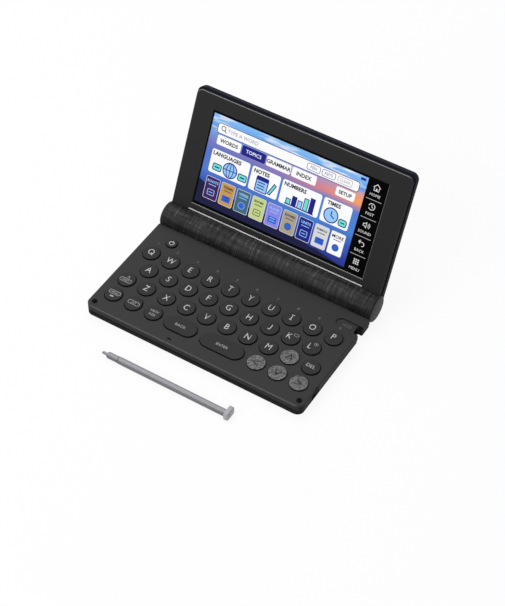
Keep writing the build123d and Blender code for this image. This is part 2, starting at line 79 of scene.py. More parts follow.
# ------------------------------------------------------------------ shader wrapper
class Sock:
    """An output socket that can be used in arithmetic."""

    def __init__(self, graph: "Graph", socket: bpy.types.NodeSocket) -> None:
        """Keeps the socket and the graph it belongs to."""
        self.graph = graph
        self.socket = socket

    def _math(self, operation: str, first: Value, second: Value) -> "Sock":
        """Adds a Math node for two values.

        Args:
            operation: the Math node's operation.
            first: left operand.
            second: right operand.

        Returns:
            The result.
        """
        return self.graph.node("ShaderNodeMath", {"operation": operation}, {0: first, 1: second})

    def __add__(self, other: Value) -> "Sock":
        """self + other."""
        return self._math("ADD", self, other)

    def __radd__(self, other: Value) -> "Sock":
        """other + self."""
        return self._math("ADD", other, self)

    def __sub__(self, other: Value) -> "Sock":
        """self - other."""
        return self._math("SUBTRACT", self, other)

    def __rsub__(self, other: Value) -> "Sock":
        """other - self."""
        return self._math("SUBTRACT", other, self)

    def __mul__(self, other: Value) -> "Sock":
        """self * other."""
        return self._math("MULTIPLY", self, other)

    def __rmul__(self, other: Value) -> "Sock":
        """other * self."""
        return self._math("MULTIPLY", other, self)

    def __abs__(self) -> "Sock":
        """abs(self)."""
        return self._math("ABSOLUTE", self, 0.0)


class Graph:
    """The node tree of one material or of the world."""

    def __init__(self, owner: Union[bpy.types.Material, bpy.types.World]) -> None:
        """Starts an empty tree.

        Args:
            owner: the material or world that the tree belongs to.
        """
        owner.use_nodes = True
        self.owner = owner
        self.tree = owner.node_tree
        self.tree.nodes.clear()

    def node(self, kind: str, settings: dict | None = None, inputs: dict | None = None,
             output: str | int = 0) -> Sock:
        """Adds any node.

        Args:
            kind: Blender's node type.
            settings: attributes set before the inputs; "stops" are a colour ramp's stops.
            inputs: socket name or index to a value or a Sock.
            output: which output to return.

        Returns:
            The chosen output.
        """
        made = self.tree.nodes.new(kind)
        for key, value in (settings or {}).items():
            if key == "stops":
                self._set_stops(made.color_ramp, value)
            else:
                setattr(made, key, value)
        for key, value in (inputs or {}).items():
            if isinstance(value, Sock):
                self.tree.links.new(value.socket, made.inputs[key])
            else:
                made.inputs[key].default_value = value
        return Sock(self, made.outputs[output] if made.outputs else None)

    @staticmethod
    def _set_stops(ramp: bpy.types.ColorRamp, stops: Sequence[tuple[float, Colour]]) -> None:
        """Sets a colour ramp's stops.

        Args:
            ramp: the ramp.
            stops: position and colour of each stop.
        """
        while len(ramp.elements) < len(stops):
            ramp.elements.new(1.0)
        for element, (position, colour) in zip(ramp.elements, stops):
            element.position = position
            element.color = (*colour, 1.0)

    def ramp(self, factor: Sock, stops: Sequence[tuple[float, Colour]]) -> Sock:
        """Colour along a factor."""
        return self.node("ShaderNodeValToRGB", {"stops": stops}, {"Fac": factor})

    def mix(self, factor: Value, low: Value, high: Value) -> Sock:
        """Mixes two colours.

        Args:
            factor: 0 gives low, 1 gives high.
            low: first colour.
            high: second colour.

        Returns:
            The mixed colour.
        """
        low, high = (value if isinstance(value, Sock) else (*value, 1.0) for value in (low, high))
        return self.node("ShaderNodeMix", {"data_type": "RGBA"}, {0: factor, 6: low, 7: high}, output=2)

    def spread(self, value: Sock, low: float, high: float) -> Sock:
        """Stretches the range from low to high over 0 to 1, and clips it."""
        return self.node("ShaderNodeMapRange", {"clamp": True},
                         {"Value": value, "From Min": low, "From Max": high})

    def band(self, value: Sock, rise: Point, fall: Point) -> Sock:
        """Rises from 0 to 1 over one range of a value, and falls to 0 over a later one."""
        return self.spread(value, *rise) * (1 - self.spread(value, *fall))

    def place(self, scale: Sequence[float] = (1, 1, 1), offset: Sequence[float] = (0, 0, 0)) -> Sock:
        """Coordinates of the surface in millimetres, in the frame of the whole object.

        Args:
            scale: extra stretch along each axis.
            offset: shift in millimetres, before the stretch.

        Returns:
            The coordinates.
        """
        where = self.node("ShaderNodeTexCoord", output="Object")
        return self.node("ShaderNodeMapping", {"vector_type": "POINT"}, {
            "Vector": where,
            "Location": tuple(-o * s for o, s in zip(offset, scale)),
            "Scale": tuple(s / MM for s in scale)})

    def along(self, direction: Sequence[float], origin: Sequence[float] = (0, 0, 0)) -> Sock:
        """Distance along a direction of the object.

        Args:
            direction: the direction, of length 1.
            origin: where the distance is 0, in metres.

        Returns:
            The distance in millimetres.
        """
        offset = self.node("ShaderNodeVectorMath", {"operation": "SUBTRACT"},
                           {0: self.node("ShaderNodeTexCoord", output="Object"), 1: tuple(origin)})
        return self.node("ShaderNodeVectorMath", {"operation": "DOT_PRODUCT"},
                         {0: offset, 1: tuple(part / MM for part in direction)}, output="Value")

    def facing(self, direction: Sequence[float]) -> Sock:
        """How far the surface faces a direction of the object.

        Args:
            direction: the direction, of length 1.

        Returns:
            1 where it faces it fully, and 0 where it stands square to it.
        """
        return self.node("ShaderNodeVectorMath", {"operation": "DOT_PRODUCT"},
                         {0: self.node("ShaderNodeTexCoord", output="Normal"), 1: tuple(direction)},
                         output="Value")

    def noise(self, where: Sock, size: float, detail: float = 2.0, roughness: float = 0.5) -> Sock:
        """Noise whose features are about so many millimetres across.

        Args:
            where: coordinates in millimetres.
            size: size of a feature.
            detail: octaves.
            roughness: weight of the fine octaves.

        Returns:
            A value around 0.5.
        """
        return self.node("ShaderNodeTexNoise", None, {
            "Vector": where, "Scale": 1.0 / size, "Detail": detail, "Roughness": roughness})

    def bump(self, height: Sock, distance: float, strength: float = 1.0) -> Sock:
        """Bump from a height.

        Args:
            height: 0 to 1.
            distance: height of 1, in millimetres.
            strength: how much of it shows.

        Returns:
            The normal.
        """
        return self.node("ShaderNodeBump", None, {
            "Height": height, "Distance": distance * MM, "Strength": strength})

    def principled(self, **inputs: Value) -> bpy.types.Material:
        """Ends the graph in a Principled shader.

        Args:
            inputs: its sockets, with underscores for spaces.

        Returns:
            The material.
        """
        named = {}
        for key, value in inputs.items():
            if isinstance(value, tuple) and len(value) == 3:
                value = (*value, 1.0)
            named[key.replace("_", " ")] = value
        shader = self.node("ShaderNodeBsdfPrincipled", None, named)
        self.node("ShaderNodeOutputMaterial", None, {"Surface": shader})
        return self.owner


# ------------------------------------------------------------------ finishes
def tinted(colour: Colour, by: float) -> Colour:
    """A colour made darker or lighter by a factor, white at the most."""
    return tuple(min(part * by, 1.0) for part in colour)


@dataclass(frozen=True)
class Finish:
    """A finish, which makes one material."""

    name: str

    def make(self) -> bpy.types.Material:
        """Builds the material."""
        return self.paint(Graph(bpy.data.materials.new(self.name)))

    def paint(self, g: Graph) -> bpy.types.Material:
        """Fills the material's graph.

        Args:
            g: the empty graph.

        Returns:
            The material.
        """
        raise NotImplementedError


@dataclass(frozen=True)
class PaintedWallShade:
    """Painted shade on a moulding's walls and painted highlight on its bevels, round its textured face.

    The face is a direction. Tone, edge and skirt are factors of the plain colour: tone paints shade on the
    walls (painted light where above 1), edge paints a highlight on the bevels towards the lamps, and skirt
    paints a lighter shade on the wall at the front. Polish is the bevels' clear coat.
    """

    face: tuple[float, float, float]
    tone: float = 0.3
    polish: float = 0.0
    edge: float = 1.0
    skirt: float = 0.0

    SKIRT_FROM = (51.2, 52.2)
    FACE_SLOPE = (0.45, 0.9)
    BEVEL_RISE, BEVEL_FALL = (0.3, 0.6), (0.8, 0.95)
    # bevels that face this side get the painted highlight
    LIT_SIDE, LIT_SLOPE = (-0.8, 0.0, 0.6), (0.1, 0.5)

    def over(self, g: Graph, colour: Colour, tint: Sock) -> tuple[Sock, Sock]:
        """Paints shade on the walls and a highlight on the bevels towards the lamps, round a textured face.

        Args:
            g: the material's graph.
            colour: plain colour of the moulding.
            tint: colour of the textured face.

        Returns:
            Colour of the whole, and weight of the polish on the bevels.
        """
        toward = g.facing(self.face)
        # painted shade: walls take the plain colour times tone, and the wall at the front times skirt
        wall: Colour | Sock = tinted(colour, self.tone)
        if self.skirt:
            wall = g.mix(g.spread(g.along((0, -1, 0)), *self.SKIRT_FROM), wall, tinted(colour, self.skirt))
        tint = g.mix(g.spread(toward, *self.FACE_SLOPE), wall, tint)
        # painted highlight: bevels that face the lamps' side take the plain colour times edge
        bevel = g.band(toward, self.BEVEL_RISE, self.BEVEL_FALL)
        lit = g.spread(g.facing(self.LIT_SIDE), *self.LIT_SLOPE)
        return g.mix(bevel * lit, tint, tinted(colour, self.edge)), bevel * self.polish


@dataclass(frozen=True)
class Moulded(Finish):
    """Moulded plastic or rubber with a fine spark-eroded grain and slight handling marks."""

    colour: Colour
    roughness: float = 0.5
    specular: float = 0.35
    grain: float = 0.25
    grain_height: float = 0.008
    mottle: float = 0.12
    # painted shade on the walls and painted highlight on the bevels, where given
    walls: PaintedWallShade | None = None

    CLOUD = 22.0
    LIGHTEN = 2.5

    def paint(self, g: Graph) -> bpy.types.Material:
        """Paints the grain, the cloudy wear, and the painted shade and highlight of the walls and bevels.

        Args:
            g: the empty graph.

        Returns:
            The material.
        """
        where = g.place()
        fine = g.noise(where, self.grain, 2.0)
        cloud = g.noise(where, self.CLOUD, 3.0)
        tint = g.mix((fine + cloud) * self.mottle, tinted(self.colour, 1 - self.mottle),
                     tinted(self.colour, 1 + self.LIGHTEN * self.mottle))
        coat: Value = 0.0
        # painted shade on the walls, painted highlight on the bevels
        if self.walls:
            tint, coat = self.walls.over(g, self.colour, tint)
        gloss = cloud * 0.10 + fine * 0.06 + (self.roughness - 0.08)
        return g.principled(Base_Color=tint, Roughness=gloss, Specular_IOR_Level=self.specular,
                            Coat_Weight=coat, Coat_Roughness=0.12,
                            Normal=g.bump(fine, self.grain_height))


@dataclass(frozen=True)
class Streaked(Finish):
    """The barrel's finish: fine uneven rings round it, over streaks that run along it."""

    dark: Colour
    light: Colour
    fleck: Colour
    end: Colour
    roughness: float = 0.45
    ring: float = 0.85
    run: float = 1.3
    dash: float = 0.6
    # painted shade: how far the back, under the lid, and the side facing the front are darkened
    painted_back_shade: float = 0.92
    painted_front_shade: float = 0.55

    BACK_SLOPE, FRONT_SLOPE, END_SLOPE = (0.05, 0.60), (0.45, 0.95), (0.6, 0.95)

    def paint(self, g: Graph) -> bpy.types.Material:
        """Paints the rings, runs and flecks, with painted shade to the back, where the lid shades the
        barrel, and on the side facing the front, and darker at the ends.

        Args:
            g: the empty graph.

        Returns:
            The material.
        """
        rings = g.noise(g.place((1.0, 0.07, 0.07)), self.ring, 2.0, 0.55)
        runs = g.noise(g.place((0.09, 0.8, 0.8), (31.0, 7.0, 3.0)), self.run, 2.0)
        dashes = g.noise(g.place((0.9, 0.40, 0.40), (-11.0, 5.0, 9.0)), self.dash, 1.0)
        level = g.spread(rings * 0.44 + runs * 0.34 + dashes * 0.22, 0.40, 0.60)
        flecks = g.spread(rings, 0.56, 0.68) * g.spread(runs, 0.42, 0.60)
        tint = g.mix(flecks, g.mix(level, self.dark, self.light), self.fleck)
        # painted shade at the back, under the lid, and on the side facing the front
        back = g.spread(g.facing((0, 1, 0)), *self.BACK_SLOPE) * self.painted_back_shade
        front = g.spread(g.facing((0, -1, 0)), *self.FRONT_SLOPE) * self.painted_front_shade
        end = g.spread(abs(g.facing((1, 0, 0))), *self.END_SLOPE)
        tint = g.mix(end, g.mix(back + front, tint, self.dark), self.end)
        return g.principled(Base_Color=tint, Specular_IOR_Level=0.12,
                            Roughness=dashes * 0.16 + (self.roughness - 0.08),
                            Normal=g.bump(rings * 0.7 + runs * 0.3, 0.10, 0.7))


@dataclass(frozen=True)
class Mottled(Finish):
    """The arrow keys' print: short light and dark streaks, close together."""

    dark: Colour
    light: Colour
    # painted shade: colour of the key's walls, darker than the plain key plastic
    rim: Colour
    lie: float = 31.0
    stretch: float = 0.3
    fine: float = 0.42
    broad: float = 1.0

    def paint(self, g: Graph) -> bpy.types.Material:
        """Paints the streaks, which lie at an angle across the key, and painted shade on its walls.

        Args:
            g: the empty graph.

        Returns:
            The material.
        """
        cos, sin = math.cos(math.radians(self.lie)), math.sin(math.radians(self.lie))
        where = g.node("ShaderNodeCombineXYZ", None, {
            "X": g.along((self.stretch * cos, self.stretch * sin, 0)),
            "Y": g.along((-sin, cos, 0)), "Z": g.along((0, 0, 1))})
        level = g.spread(g.noise(where, self.fine, 1.5, 0.6) * 0.7 + g.noise(where, self.broad, 2.0) * 0.3,
                         0.40, 0.60)
        # painted shade: walls that do not face up take the rim colour
        tint = g.mix(g.spread(g.facing((0, 0, 1)), 0.2, 0.6), self.rim, g.mix(level, self.dark, self.light))
        return g.principled(Base_Color=tint, Roughness=level * 0.12 + 0.42, Specular_IOR_Level=0.15,
                            Normal=g.bump(level, 0.012))


@dataclass(frozen=True)
class Brushed(Finish):
    """Brushed or drawn metal, or a print of it under a clear coat."""

    colour: Colour
    metallic: float
    roughness: float
    contrast: float = 0.25
    along: tuple[float, float, float] = (0.06, 1.0, 1.0)
    line: float = 0.35
    coat: float = 0.0

    def paint(self, g: Graph) -> bpy.types.Material:
        """Paints the fine lines over broader ones.

        Args:
            g: the empty graph.

        Returns:
            The material.
        """
        lines = g.noise(g.place(self.along), self.line, 3.0, 0.6)
        broad = g.noise(g.place(self.along, (13.0, 4.0, 2.0)), self.line * 3, 2.0)
        tint = g.mix(g.spread(lines * 0.5 + broad * 0.5, 0.33, 0.67),
                     tinted(self.colour, 1 - self.contrast), tinted(self.colour, 1 + self.contrast))
        return g.principled(Base_Color=tint, Metallic=self.metallic, Coat_Weight=self.coat,
                            Coat_Roughness=0.12, Specular_IOR_Level=0.25,
                            Roughness=lines * 0.12 + (self.roughness - 0.06), Normal=g.bump(lines, 0.004))


@dataclass(frozen=True)
class Ink(Finish):
    """Printing ink on plastic: even, with pinholes and slightly uneven cover."""

    colour: Colour
    roughness: float = 0.5
    cover: float = 0.92
    pinhole: float = 0.12

    def paint(self, g: Graph) -> bpy.types.Material:
        """Paints the ink.

        Args:
            g: the empty graph.

        Returns:
            The material.
        """
        fine = g.noise(g.place(), self.pinhole, 1.0)
        return g.principled(Base_Color=g.mix(fine, tinted(self.colour, self.cover), self.colour),
                            Roughness=fine * 0.1 + self.roughness, Specular_IOR_Level=0.2,
                            Normal=g.bump(fine, 0.002))


@dataclass(frozen=True)
class Lit(Finish):
    """A lit area of the display, with the faint grid of its pixels."""

    colour: Colour
    pixel: float = 0.22
    dimmest: float = 0.97

    def paint(self, g: Graph) -> bpy.types.Material:
        """Paints the glow and the grid.

        Args:
            g: the empty graph.

        Returns:
            The material.
        """
        grid = g.node("ShaderNodeTexChecker", None, {"Vector": g.place(), "Scale": 1.0 / self.pixel},
                      output="Fac")
        glow = g.mix(grid, tinted(self.colour, self.dimmest), self.colour)
        return g.principled(Base_Color=(0.0, 0.0, 0.0), Emission_Color=glow, Emission_Strength=1.0,
                            Roughness=0.25 + grid * 0.01, Specular_IOR_Level=0.12)


@dataclass(frozen=True)
class Backdrop(Finish):
    """The display's background: an evening sky over dark hills, soft and without detail.

    Heights run up the lid from the hinge and widths across it from its middle, in millimetres.
    """

    origin: tuple[float, float, float]
    up: tuple[float, float, float]
    height: float = 80.0
    drift: float = 9.0

    SKY = ((0.20, shade(36, 46, 136)), (0.36, shade(52, 84, 178)), (0.50, shade(70, 130, 212)),
           (0.62, shade(76, 124, 204)), (0.69, shade(126, 124, 186)), (0.77, shade(118, 150, 216)),
           (0.84, shade(96, 160, 232)), (0.93, shade(128, 186, 242)), (1.0, shade(70, 140, 224)))
    DUSK = ((0.0, shade(160, 118, 178)), (0.6, shade(232, 128, 116)), (1.0, shade(255, 160, 70)))
    VIOLET, CLOUD, HILL = shade(98, 92, 190), shade(244, 244, 246), shade(20, 20, 62)

    def paint(self, g: Graph) -> bpy.types.Material:
        """Paints the sky from far to near: gradient, dusk, violet haze, clouds and hills.

        Args:
            g: the empty graph.

        Returns:
            The material.
        """
        level, across = g.along(self.up, self.origin), g.along((1, 0, 0))
        drift = g.noise(g.place((0.22, 1.5, 1.5)), 9.0, 3.0)
        rise = level + drift * self.drift - self.drift / 2
        sky = g.ramp(rise * (1 / self.height), self.SKY)
        dusk = g.band(rise, (52.0, 56.5), (59.0, 66.0)) * g.spread(across, -45.0, 40.0)
        sky = g.mix(dusk * 0.9, sky, g.ramp(g.spread(across, -30.0, 46.0), self.DUSK))
        violet = g.band(rise, (30.0, 42.0), (50.0, 60.0)) * (1 - g.spread(across, -30.0, 20.0))
        sky = g.mix(violet * 0.35, sky, self.VIOLET)
        cloud = g.spread(g.noise(g.place((0.35, 2.6, 2.6), (9.0, 2.0, 5.0)), 6.0, 3.0), 0.50, 0.66)
        sky = g.mix(cloud * g.spread(rise, 60.0, 70.0) * 0.8, sky, self.CLOUD)
        ridge = g.noise(g.place((1.0, 0.02, 0.02), (40.0, 0.0, 0.0)), 22.0, 2.0)
        hills = ridge * 12.0 - across * 0.14 + 16.5
        sky = g.mix(1 - g.spread(level - hills, -0.3, 0.3), sky, self.HILL)
        return g.principled(Base_Color=(0.0, 0.0, 0.0), Emission_Color=sky, Emission_Strength=1.0,
                            Roughness=drift * 0.02 + 0.24, Specular_IOR_Level=0.12)


class Palette:
    """Every finish of the dictionary, made once."""

    def __init__(self, lid: "LidPlane") -> None:
        """Builds the materials.

        Args:
            lid: the lid's plane, which the display's gradient follows.
        """
        up, front, stylus_lit_side = (0.0, 0.0, 1.0), tuple(lid.normal), (0.0, 0.45, 0.89)
        # deck: painted shade on the key wells and walls, less of it on the front wall, and a painted
        # highlight on the bevels towards the lamps
        self.deck = Moulded("deck_plastic", (0.0370, 0.0370, 0.0373), 0.55, 0.10,
                            walls=PaintedWallShade(up, 0.10, 0.25, 1.2, 0.65)).make()
        self.case = Moulded("case_plastic", (0.0100, 0.0100, 0.0108), 0.55, 0.05, 0.35, 0.012).make()
        # keys: painted shade makes the caps' walls near black
        self.key = Moulded("key_plastic", (0.0365, 0.0365, 0.0368), 0.5, 0.05, 0.2, 0.004,
                           walls=PaintedWallShade(up, 0.02)).make()
        # bezel: painted light makes the walls a little lighter, and a painted highlight the bevels towards
        # the lamps, such as the screen opening's rims
        self.bezel = Moulded("bezel_plastic", (0.0222, 0.0222, 0.0224), 0.5, 0.09, 0.3, 0.005,
                             walls=PaintedWallShade(front, 1.3, 0.3, 7.5)).make()
        self.lid = Moulded("lid_plastic", (0.0105, 0.0110, 0.0190), 0.5, 0.03, 0.5, 0.002, 0.08).make()
        # barrel: dark is also the colour of the painted shade at the back and the front
        self.barrel = Streaked("barrel_plastic", shade(18), shade(57), shade(90), shade(17)).make()
        # arrow keys: the last colour is painted shade on their walls
        self.arrow = Mottled("arrow_key_plastic", shade(34), shade(134), shade(24)).make()
        self.trim = Brushed("trim", (0.80, 0.80, 0.80), 0.6, 0.24, 0.06).make()
        self.steel = Brushed("steel", (0.55, 0.55, 0.56), 1.0, 0.35, 0.15).make()
        self.cell = Brushed("cell_jacket", (0.05, 0.05, 0.06), 0.3, 0.3, 0.1, (0.05, 1.0, 1.0), 0.8,
                            0.5).make()
        self.rubber = Moulded("rubber", (0.004, 0.004, 0.004), 0.8, 0.05, 0.3, 0.010).make()
        self.silicone = Moulded("silicone", (0.22, 0.22, 0.22), 0.65, 0.25, 0.6, 0.010).make()
        self.board = Moulded("board", (0.015, 0.10, 0.04), 0.35, 0.5, 1.2, 0.010, 0.25).make()
        self.speaker = Moulded("speaker_plastic", (0.012, 0.012, 0.012), 0.6, 0.3).make()
        # stylus: painted shade on the shaft's side turned away from the lamps above
        self.stylus = Moulded("stylus_plastic", (0.308, 0.304, 0.324), 0.3, 0.35, 0.5, 0.003, 0.06,
                              walls=PaintedWallShade(stylus_lit_side, 0.50)).make()
        self.stylus_head = Moulded("stylus_head_plastic", (0.400, 0.398, 0.412), 0.35, 0.3, 0.5, 0.003,
                                   0.06).make()
        self.glass = Moulded("glass", (0.0006, 0.0006, 0.0007), 0.18, 0.025, 3.0, 0.0005, 0.1).make()
        self.module = Moulded("display", (0.02, 0.02, 0.03), 0.3, 0.4).make()
        # near black: painted shade, laid in the slot near the deck's front and in the gap over the bright
        # strip
        self.shadow = Moulded("shadow_gap", (0.0012, 0.0012, 0.0012), 0.9, 0.0).make()
        self.legend = Ink("legend_white", shade(206)).make()
        self.legend_soft = Ink("legend_soft", shade(168)).make()
        self.legend_sign = Ink("legend_sign", shade(138)).make()
        self.legend_grey = Ink("legend_grey", shade(112)).make()
        self.legend_faint = Ink("legend_faint", shade(96)).make()
        self.legend_dark = Ink("legend_dark", (0.003, 0.003, 0.003)).make()
        self.sky = Backdrop("display_sky", tuple(lid.origin), tuple(lid.up)).make()
        self.lit = {tone: Lit("display_" + tone.name.lower(), tone.value).make() for tone in Tone}


class Tone(Enum):
    """Colours of the lit marks on the display."""

    WHITE = shade(252, 252, 254)
    NAVY = shade(24, 30, 132)
    BLUE = shade(46, 98, 208)
    PALE = shade(150, 200, 248)
    TEAL = shade(110, 224, 206)
    SAND = shade(198, 152, 84)
    LILAC = shade(136, 134, 228)
    SLATE = shade(64, 104, 128)
    PLUM = shade(62, 26, 96)
    STONE = shade(168, 160, 140)
    SILVER = shade(214, 216, 220)
    LEAF = shade(196, 212, 138)
    GREY = shade(44, 44, 54)
    MIST = shade(140, 140, 156)
    CHALK = shade(222, 222, 224)
    ASH = shade(160, 160, 164)


# ------------------------------------------------------------------ planes and flat art
@dataclass(frozen=True)
class Surface:
    """A flat place to print on: an origin, two directions and the outward normal."""

    origin: Vector
    across: Vector
    up: Vector

    @property
    def normal(self) -> Vector:
        """Outward normal."""
        return self.across.cross(self.up).normalized()

    def at(self, x: float, y: float, lift: float = 0.0) -> Vector:
        """Point of the surface, in metres, from millimetres.

        Args:
            x: across.
            y: up.
            lift: out of the surface.

        Returns:
            The point.
        """
        return self.origin + (self.across * x + self.up * y + self.normal * lift) * MM


@dataclass(frozen=True)
class Dish(Surface):
    """The slightly hollow top of a key, round or with two straight sides."""

    depth: float
    reach: float
    straight: float

    def at(self, x: float, y: float, lift: float = 0.0) -> Vector:
        """Point of the hollow surface.

        Args:
            x: across.
            y: up.
            lift: out of the surface.

        Returns:
            The point.
        """
        out = math.hypot(max(abs(x) - self.straight, 0.0), y) / self.reach
        return super().at(x, y, lift + self.depth * min(out * out, 1.0))


class LidPlane(Surface):
    """The plane of the lid's face, through the hinge axis."""

    TILT = 24.3  # degrees back from upright
    FACE = -0.43  # the bezel's face, in millimetres out from the hinge axis

    @classmethod
    def from_frame(cls) -> "LidPlane":
        """Takes the axis from the hinge joint.

        Returns:
            The plane.
        """
        joint = next(j for j in frame["joints"] if j["name"] == "lid_hinge")
        tilt = math.radians(cls.TILT)
        return cls(Vector(joint["pos_m"]), Vector((1, 0, 0)),
                   Vector((0, math.sin(tilt), math.cos(tilt))))


class FlatArt:
    """Flat shapes gathered on one surface and given a little thickness."""

    ARC_STEP = math.radians(15)
    CAPITAL = 0.682  # height of a capital, as a part of the type size
    MERGE = 1e-5
    MITRE = 0.4  # least cosine that a mitred corner is drawn out by

    def __init__(self) -> None:
        """Starts with nothing."""
        self.mesh = bmesh.new()
        self.pen = (0.0, 0.0)

    def at(self, x: float, y: float) -> "FlatArt":
        """Sets the point from which the next shapes are measured."""
        self.pen = (x, y)
        return self

    def _point(self, x: float, y: float) -> bmesh.types.BMVert:
        """Adds a point."""
        return self.mesh.verts.new((self.pen[0] + x, self.pen[1] + y, 0.0))

    def poly(self, points: Sequence[Point]) -> "FlatArt":
        """Adds a filled outline, anticlockwise."""
        self.mesh.faces.new([self._point(x, y) for x, y in points])
        return self

    def rect(self, x: float, y: float, width: float, height: float, radius: float = 0.0) -> "FlatArt":
        """Adds a rectangle with round corners.

        Args:
            x: its centre.
            y: its centre.
            width: across.
            height: up.
            radius: of the corners.

        Returns:
            Itself.
        """
        return self.poly(self.corners(x, y, width, height, radius))

    def disc(self, x: float, y: float, radius: float, sides: int = 28) -> "FlatArt":
        """Adds a disc about a point.

        Args:
            x: its centre.
            y: its centre.
            radius: of the disc.
            sides: how many straight sides stand for the circle.

        Returns:
            Itself.
        """
        turn = 2 * math.pi / sides
        return self.poly([(x + radius * math.cos(i * turn), y + radius * math.sin(i * turn))
                          for i in range(sides)])

    def stroke(self, points: Sequence[Point], width: float, closed: bool = False) -> "FlatArt":
        """Adds a line of some width along points, with mitred corners.

        Args:
            points: its middle.
            width: of the line.
            closed: joins the last point to the first.

        Returns:
            Itself.
        """
        count = len(points)
        sides = []
        for i, (x, y) in enumerate(points):
            before = points[i - 1] if closed or i > 0 else None
            after = points[(i + 1) % count] if closed or i < count - 1 else None
            runs = [Vector((x - before[0], y - before[1])).normalized()] if before else []
            runs += [Vector((after[0] - x, after[1] - y)).normalized()] if after else []
            along = sum(runs, Vector((0, 0))).normalized()
            out = Vector((-along.y, along.x)) * (width / 2 / max(along.dot(runs[0]), self.MITRE))
            sides.append((self._point(x + out.x, y + out.y), self._point(x - out.x, y - out.y)))
        for i in range(count if closed else count - 1):
            (a, b), (c, d) = sides[i], sides[(i + 1) % count]
            self.mesh.faces.new((b, d, c, a))
        return self

    def arc(self, x: float, y: float, radius: float, width: float, start: float = 0.0,
            end: float = 360.0) -> "FlatArt":
        """Adds an arc or a ring.

        Args:
            x: centre.
            y: centre.
            radius: to the middle of the line.
            width: of the line.
            start: angle in degrees.
            end: angle in degrees.

        Returns:
            Itself.
        """
        whole = end - start >= 360
        steps = max(6, int(math.radians(end - start) / self.ARC_STEP))
        points = []
        for i in range(steps if whole else steps + 1):
            angle = math.radians(start + (end - start) * i / steps)
            points.append((x + radius * math.cos(angle), y + radius * math.sin(angle)))
        return self.stroke(points, width, whole)

    def frame(self, x: float, y: float, width: float, height: float, line: float,
              radius: float = 0.0) -> "FlatArt":
        """Adds the outline of a rectangle, round at the corners where a radius is given.

        Args:
            x: its centre.
            y: its centre.
            width: across, to the middle of the line.
            height: up, to the middle of the line.
            line: width of the line.
            radius: of the corners.

        Returns:
            Itself.
        """
        return self.stroke(self.corners(x, y, width, height, radius), line, True)

    @staticmethod
    def corners(x: float, y: float, width: float, height: float, radius: float = 0.0,
                steps: int = 5) -> list[Point]:
        """Outline points of a rectangle, anticlockwise.

        Args:
            x: its centre.
            y: its centre.
            width: across.
            height: up.
            radius: of the corners.
            steps: points in each corner.

        Returns:
            The points.
        """
        hw, hh = width / 2 - radius, height / 2 - radius
        quarters = ((hw, hh), (-hw, hh), (-hw, -hh), (hw, -hh))
        if radius <= 0:
            return [(x + cx, y + cy) for cx, cy in quarters]
        points = []
        for quarter, (cx, cy) in enumerate(quarters):
            for step in range(steps + 1):
                angle = math.pi / 2 * (quarter + step / steps)
                points.append((x + cx + radius * math.cos(angle), y + cy + radius * math.sin(angle)))
        return points

    def text(self, words: str, x: float, y: float, height: float, weight: float = 0.0,
             steps: int = 3, width: float = 1.0) -> "FlatArt":
        """Adds plain lettering, centred.

        Args:
            words: what it says.
            x: centre.
            y: centre.
            height: of a capital.
            weight: extra thickness of the strokes.
            steps: points in each curve.
            width: stretch across.

        Returns:
            Itself.
        """
        curve = bpy.data.curves.new("words", "FONT")
        curve.body = words
        curve.size = height / self.CAPITAL
        curve.offset = weight
        curve.resolution_u = steps
        holder = bpy.data.objects.new("words", curve)
        bpy.context.scene.collection.objects.link(holder)
        bpy.context.view_layer.update()
        flat = bpy.data.meshes.new_from_object(holder)
        flat.transform(Matrix.Diagonal((width, 1.0, 1.0, 1.0)))
        xs = [vert.co.x for vert in flat.vertices]
        across = self.pen[0] + x - (min(xs) + max(xs)) / 2
        flat.transform(Matrix.Translation((across, self.pen[1] + y - height / 2, 0)))
        self.mesh.from_mesh(flat)
        bpy.data.objects.remove(holder)
        bpy.data.curves.remove(curve)
        bpy.data.meshes.remove(flat)
        return self

    def lay(self, name: str, surface: Surface, finish: bpy.types.Material, body: str, slot: str,
            lift: float = 0.0, thickness: float = 0.03) -> bpy.types.Object:
        """Turns the art into a piece on its surface.

        Args:
            name: the piece's name.
            surface: where it lies.
            finish: its material.
            body: the body it rides on.
            slot: the record's material slot; not used.
            lift: gap under it, in millimetres.
            thickness: in millimetres.

        Returns:
            The piece.
        """
        art = self.mesh
        bmesh.ops.remove_doubles(art, verts=art.verts[:], dist=self.MERGE)
        bmesh.ops.recalc_face_normals(art, faces=art.faces[:])
        for face in art.faces:
            if face.normal.z < 0:
                face.normal_flip()
        raised = bmesh.ops.extrude_face_region(art, geom=art.faces[:])
        for vert in (v for v in raised["geom"] if isinstance(v, bmesh.types.BMVert)):
            vert.co.z += thickness
        bmesh.ops.recalc_face_normals(art, faces=art.faces[:])
        for vert in art.verts:
            vert.co = surface.at(vert.co.x, vert.co.y, vert.co.z + lift)
        return finish_piece(name, art, finish, body)


def lofted(rings: Sequence[Sequence[Vector]]) -> bmesh.types.BMesh:
    """Closed body through rings of points, with a flat face at each end.

    Args:
        rings: the points of each ring, in millimetres, as many in each.

    Returns:
        The mesh.
    """
    made = bmesh.new()
    loops = [[made.verts.new(point * MM) for point in ring] for ring in rings]
    for lower, upper in zip(loops, loops[1:]):
        for i in range(len(lower)):
            j = (i + 1) % len(lower)
            made.faces.new((lower[i], lower[j], upper[j], upper[i]))
    made.faces.new(loops[-1])
    made.faces.new(list(reversed(loops[0])))
    bmesh.ops.recalc_face_normals(made, faces=made.faces[:])
    return made


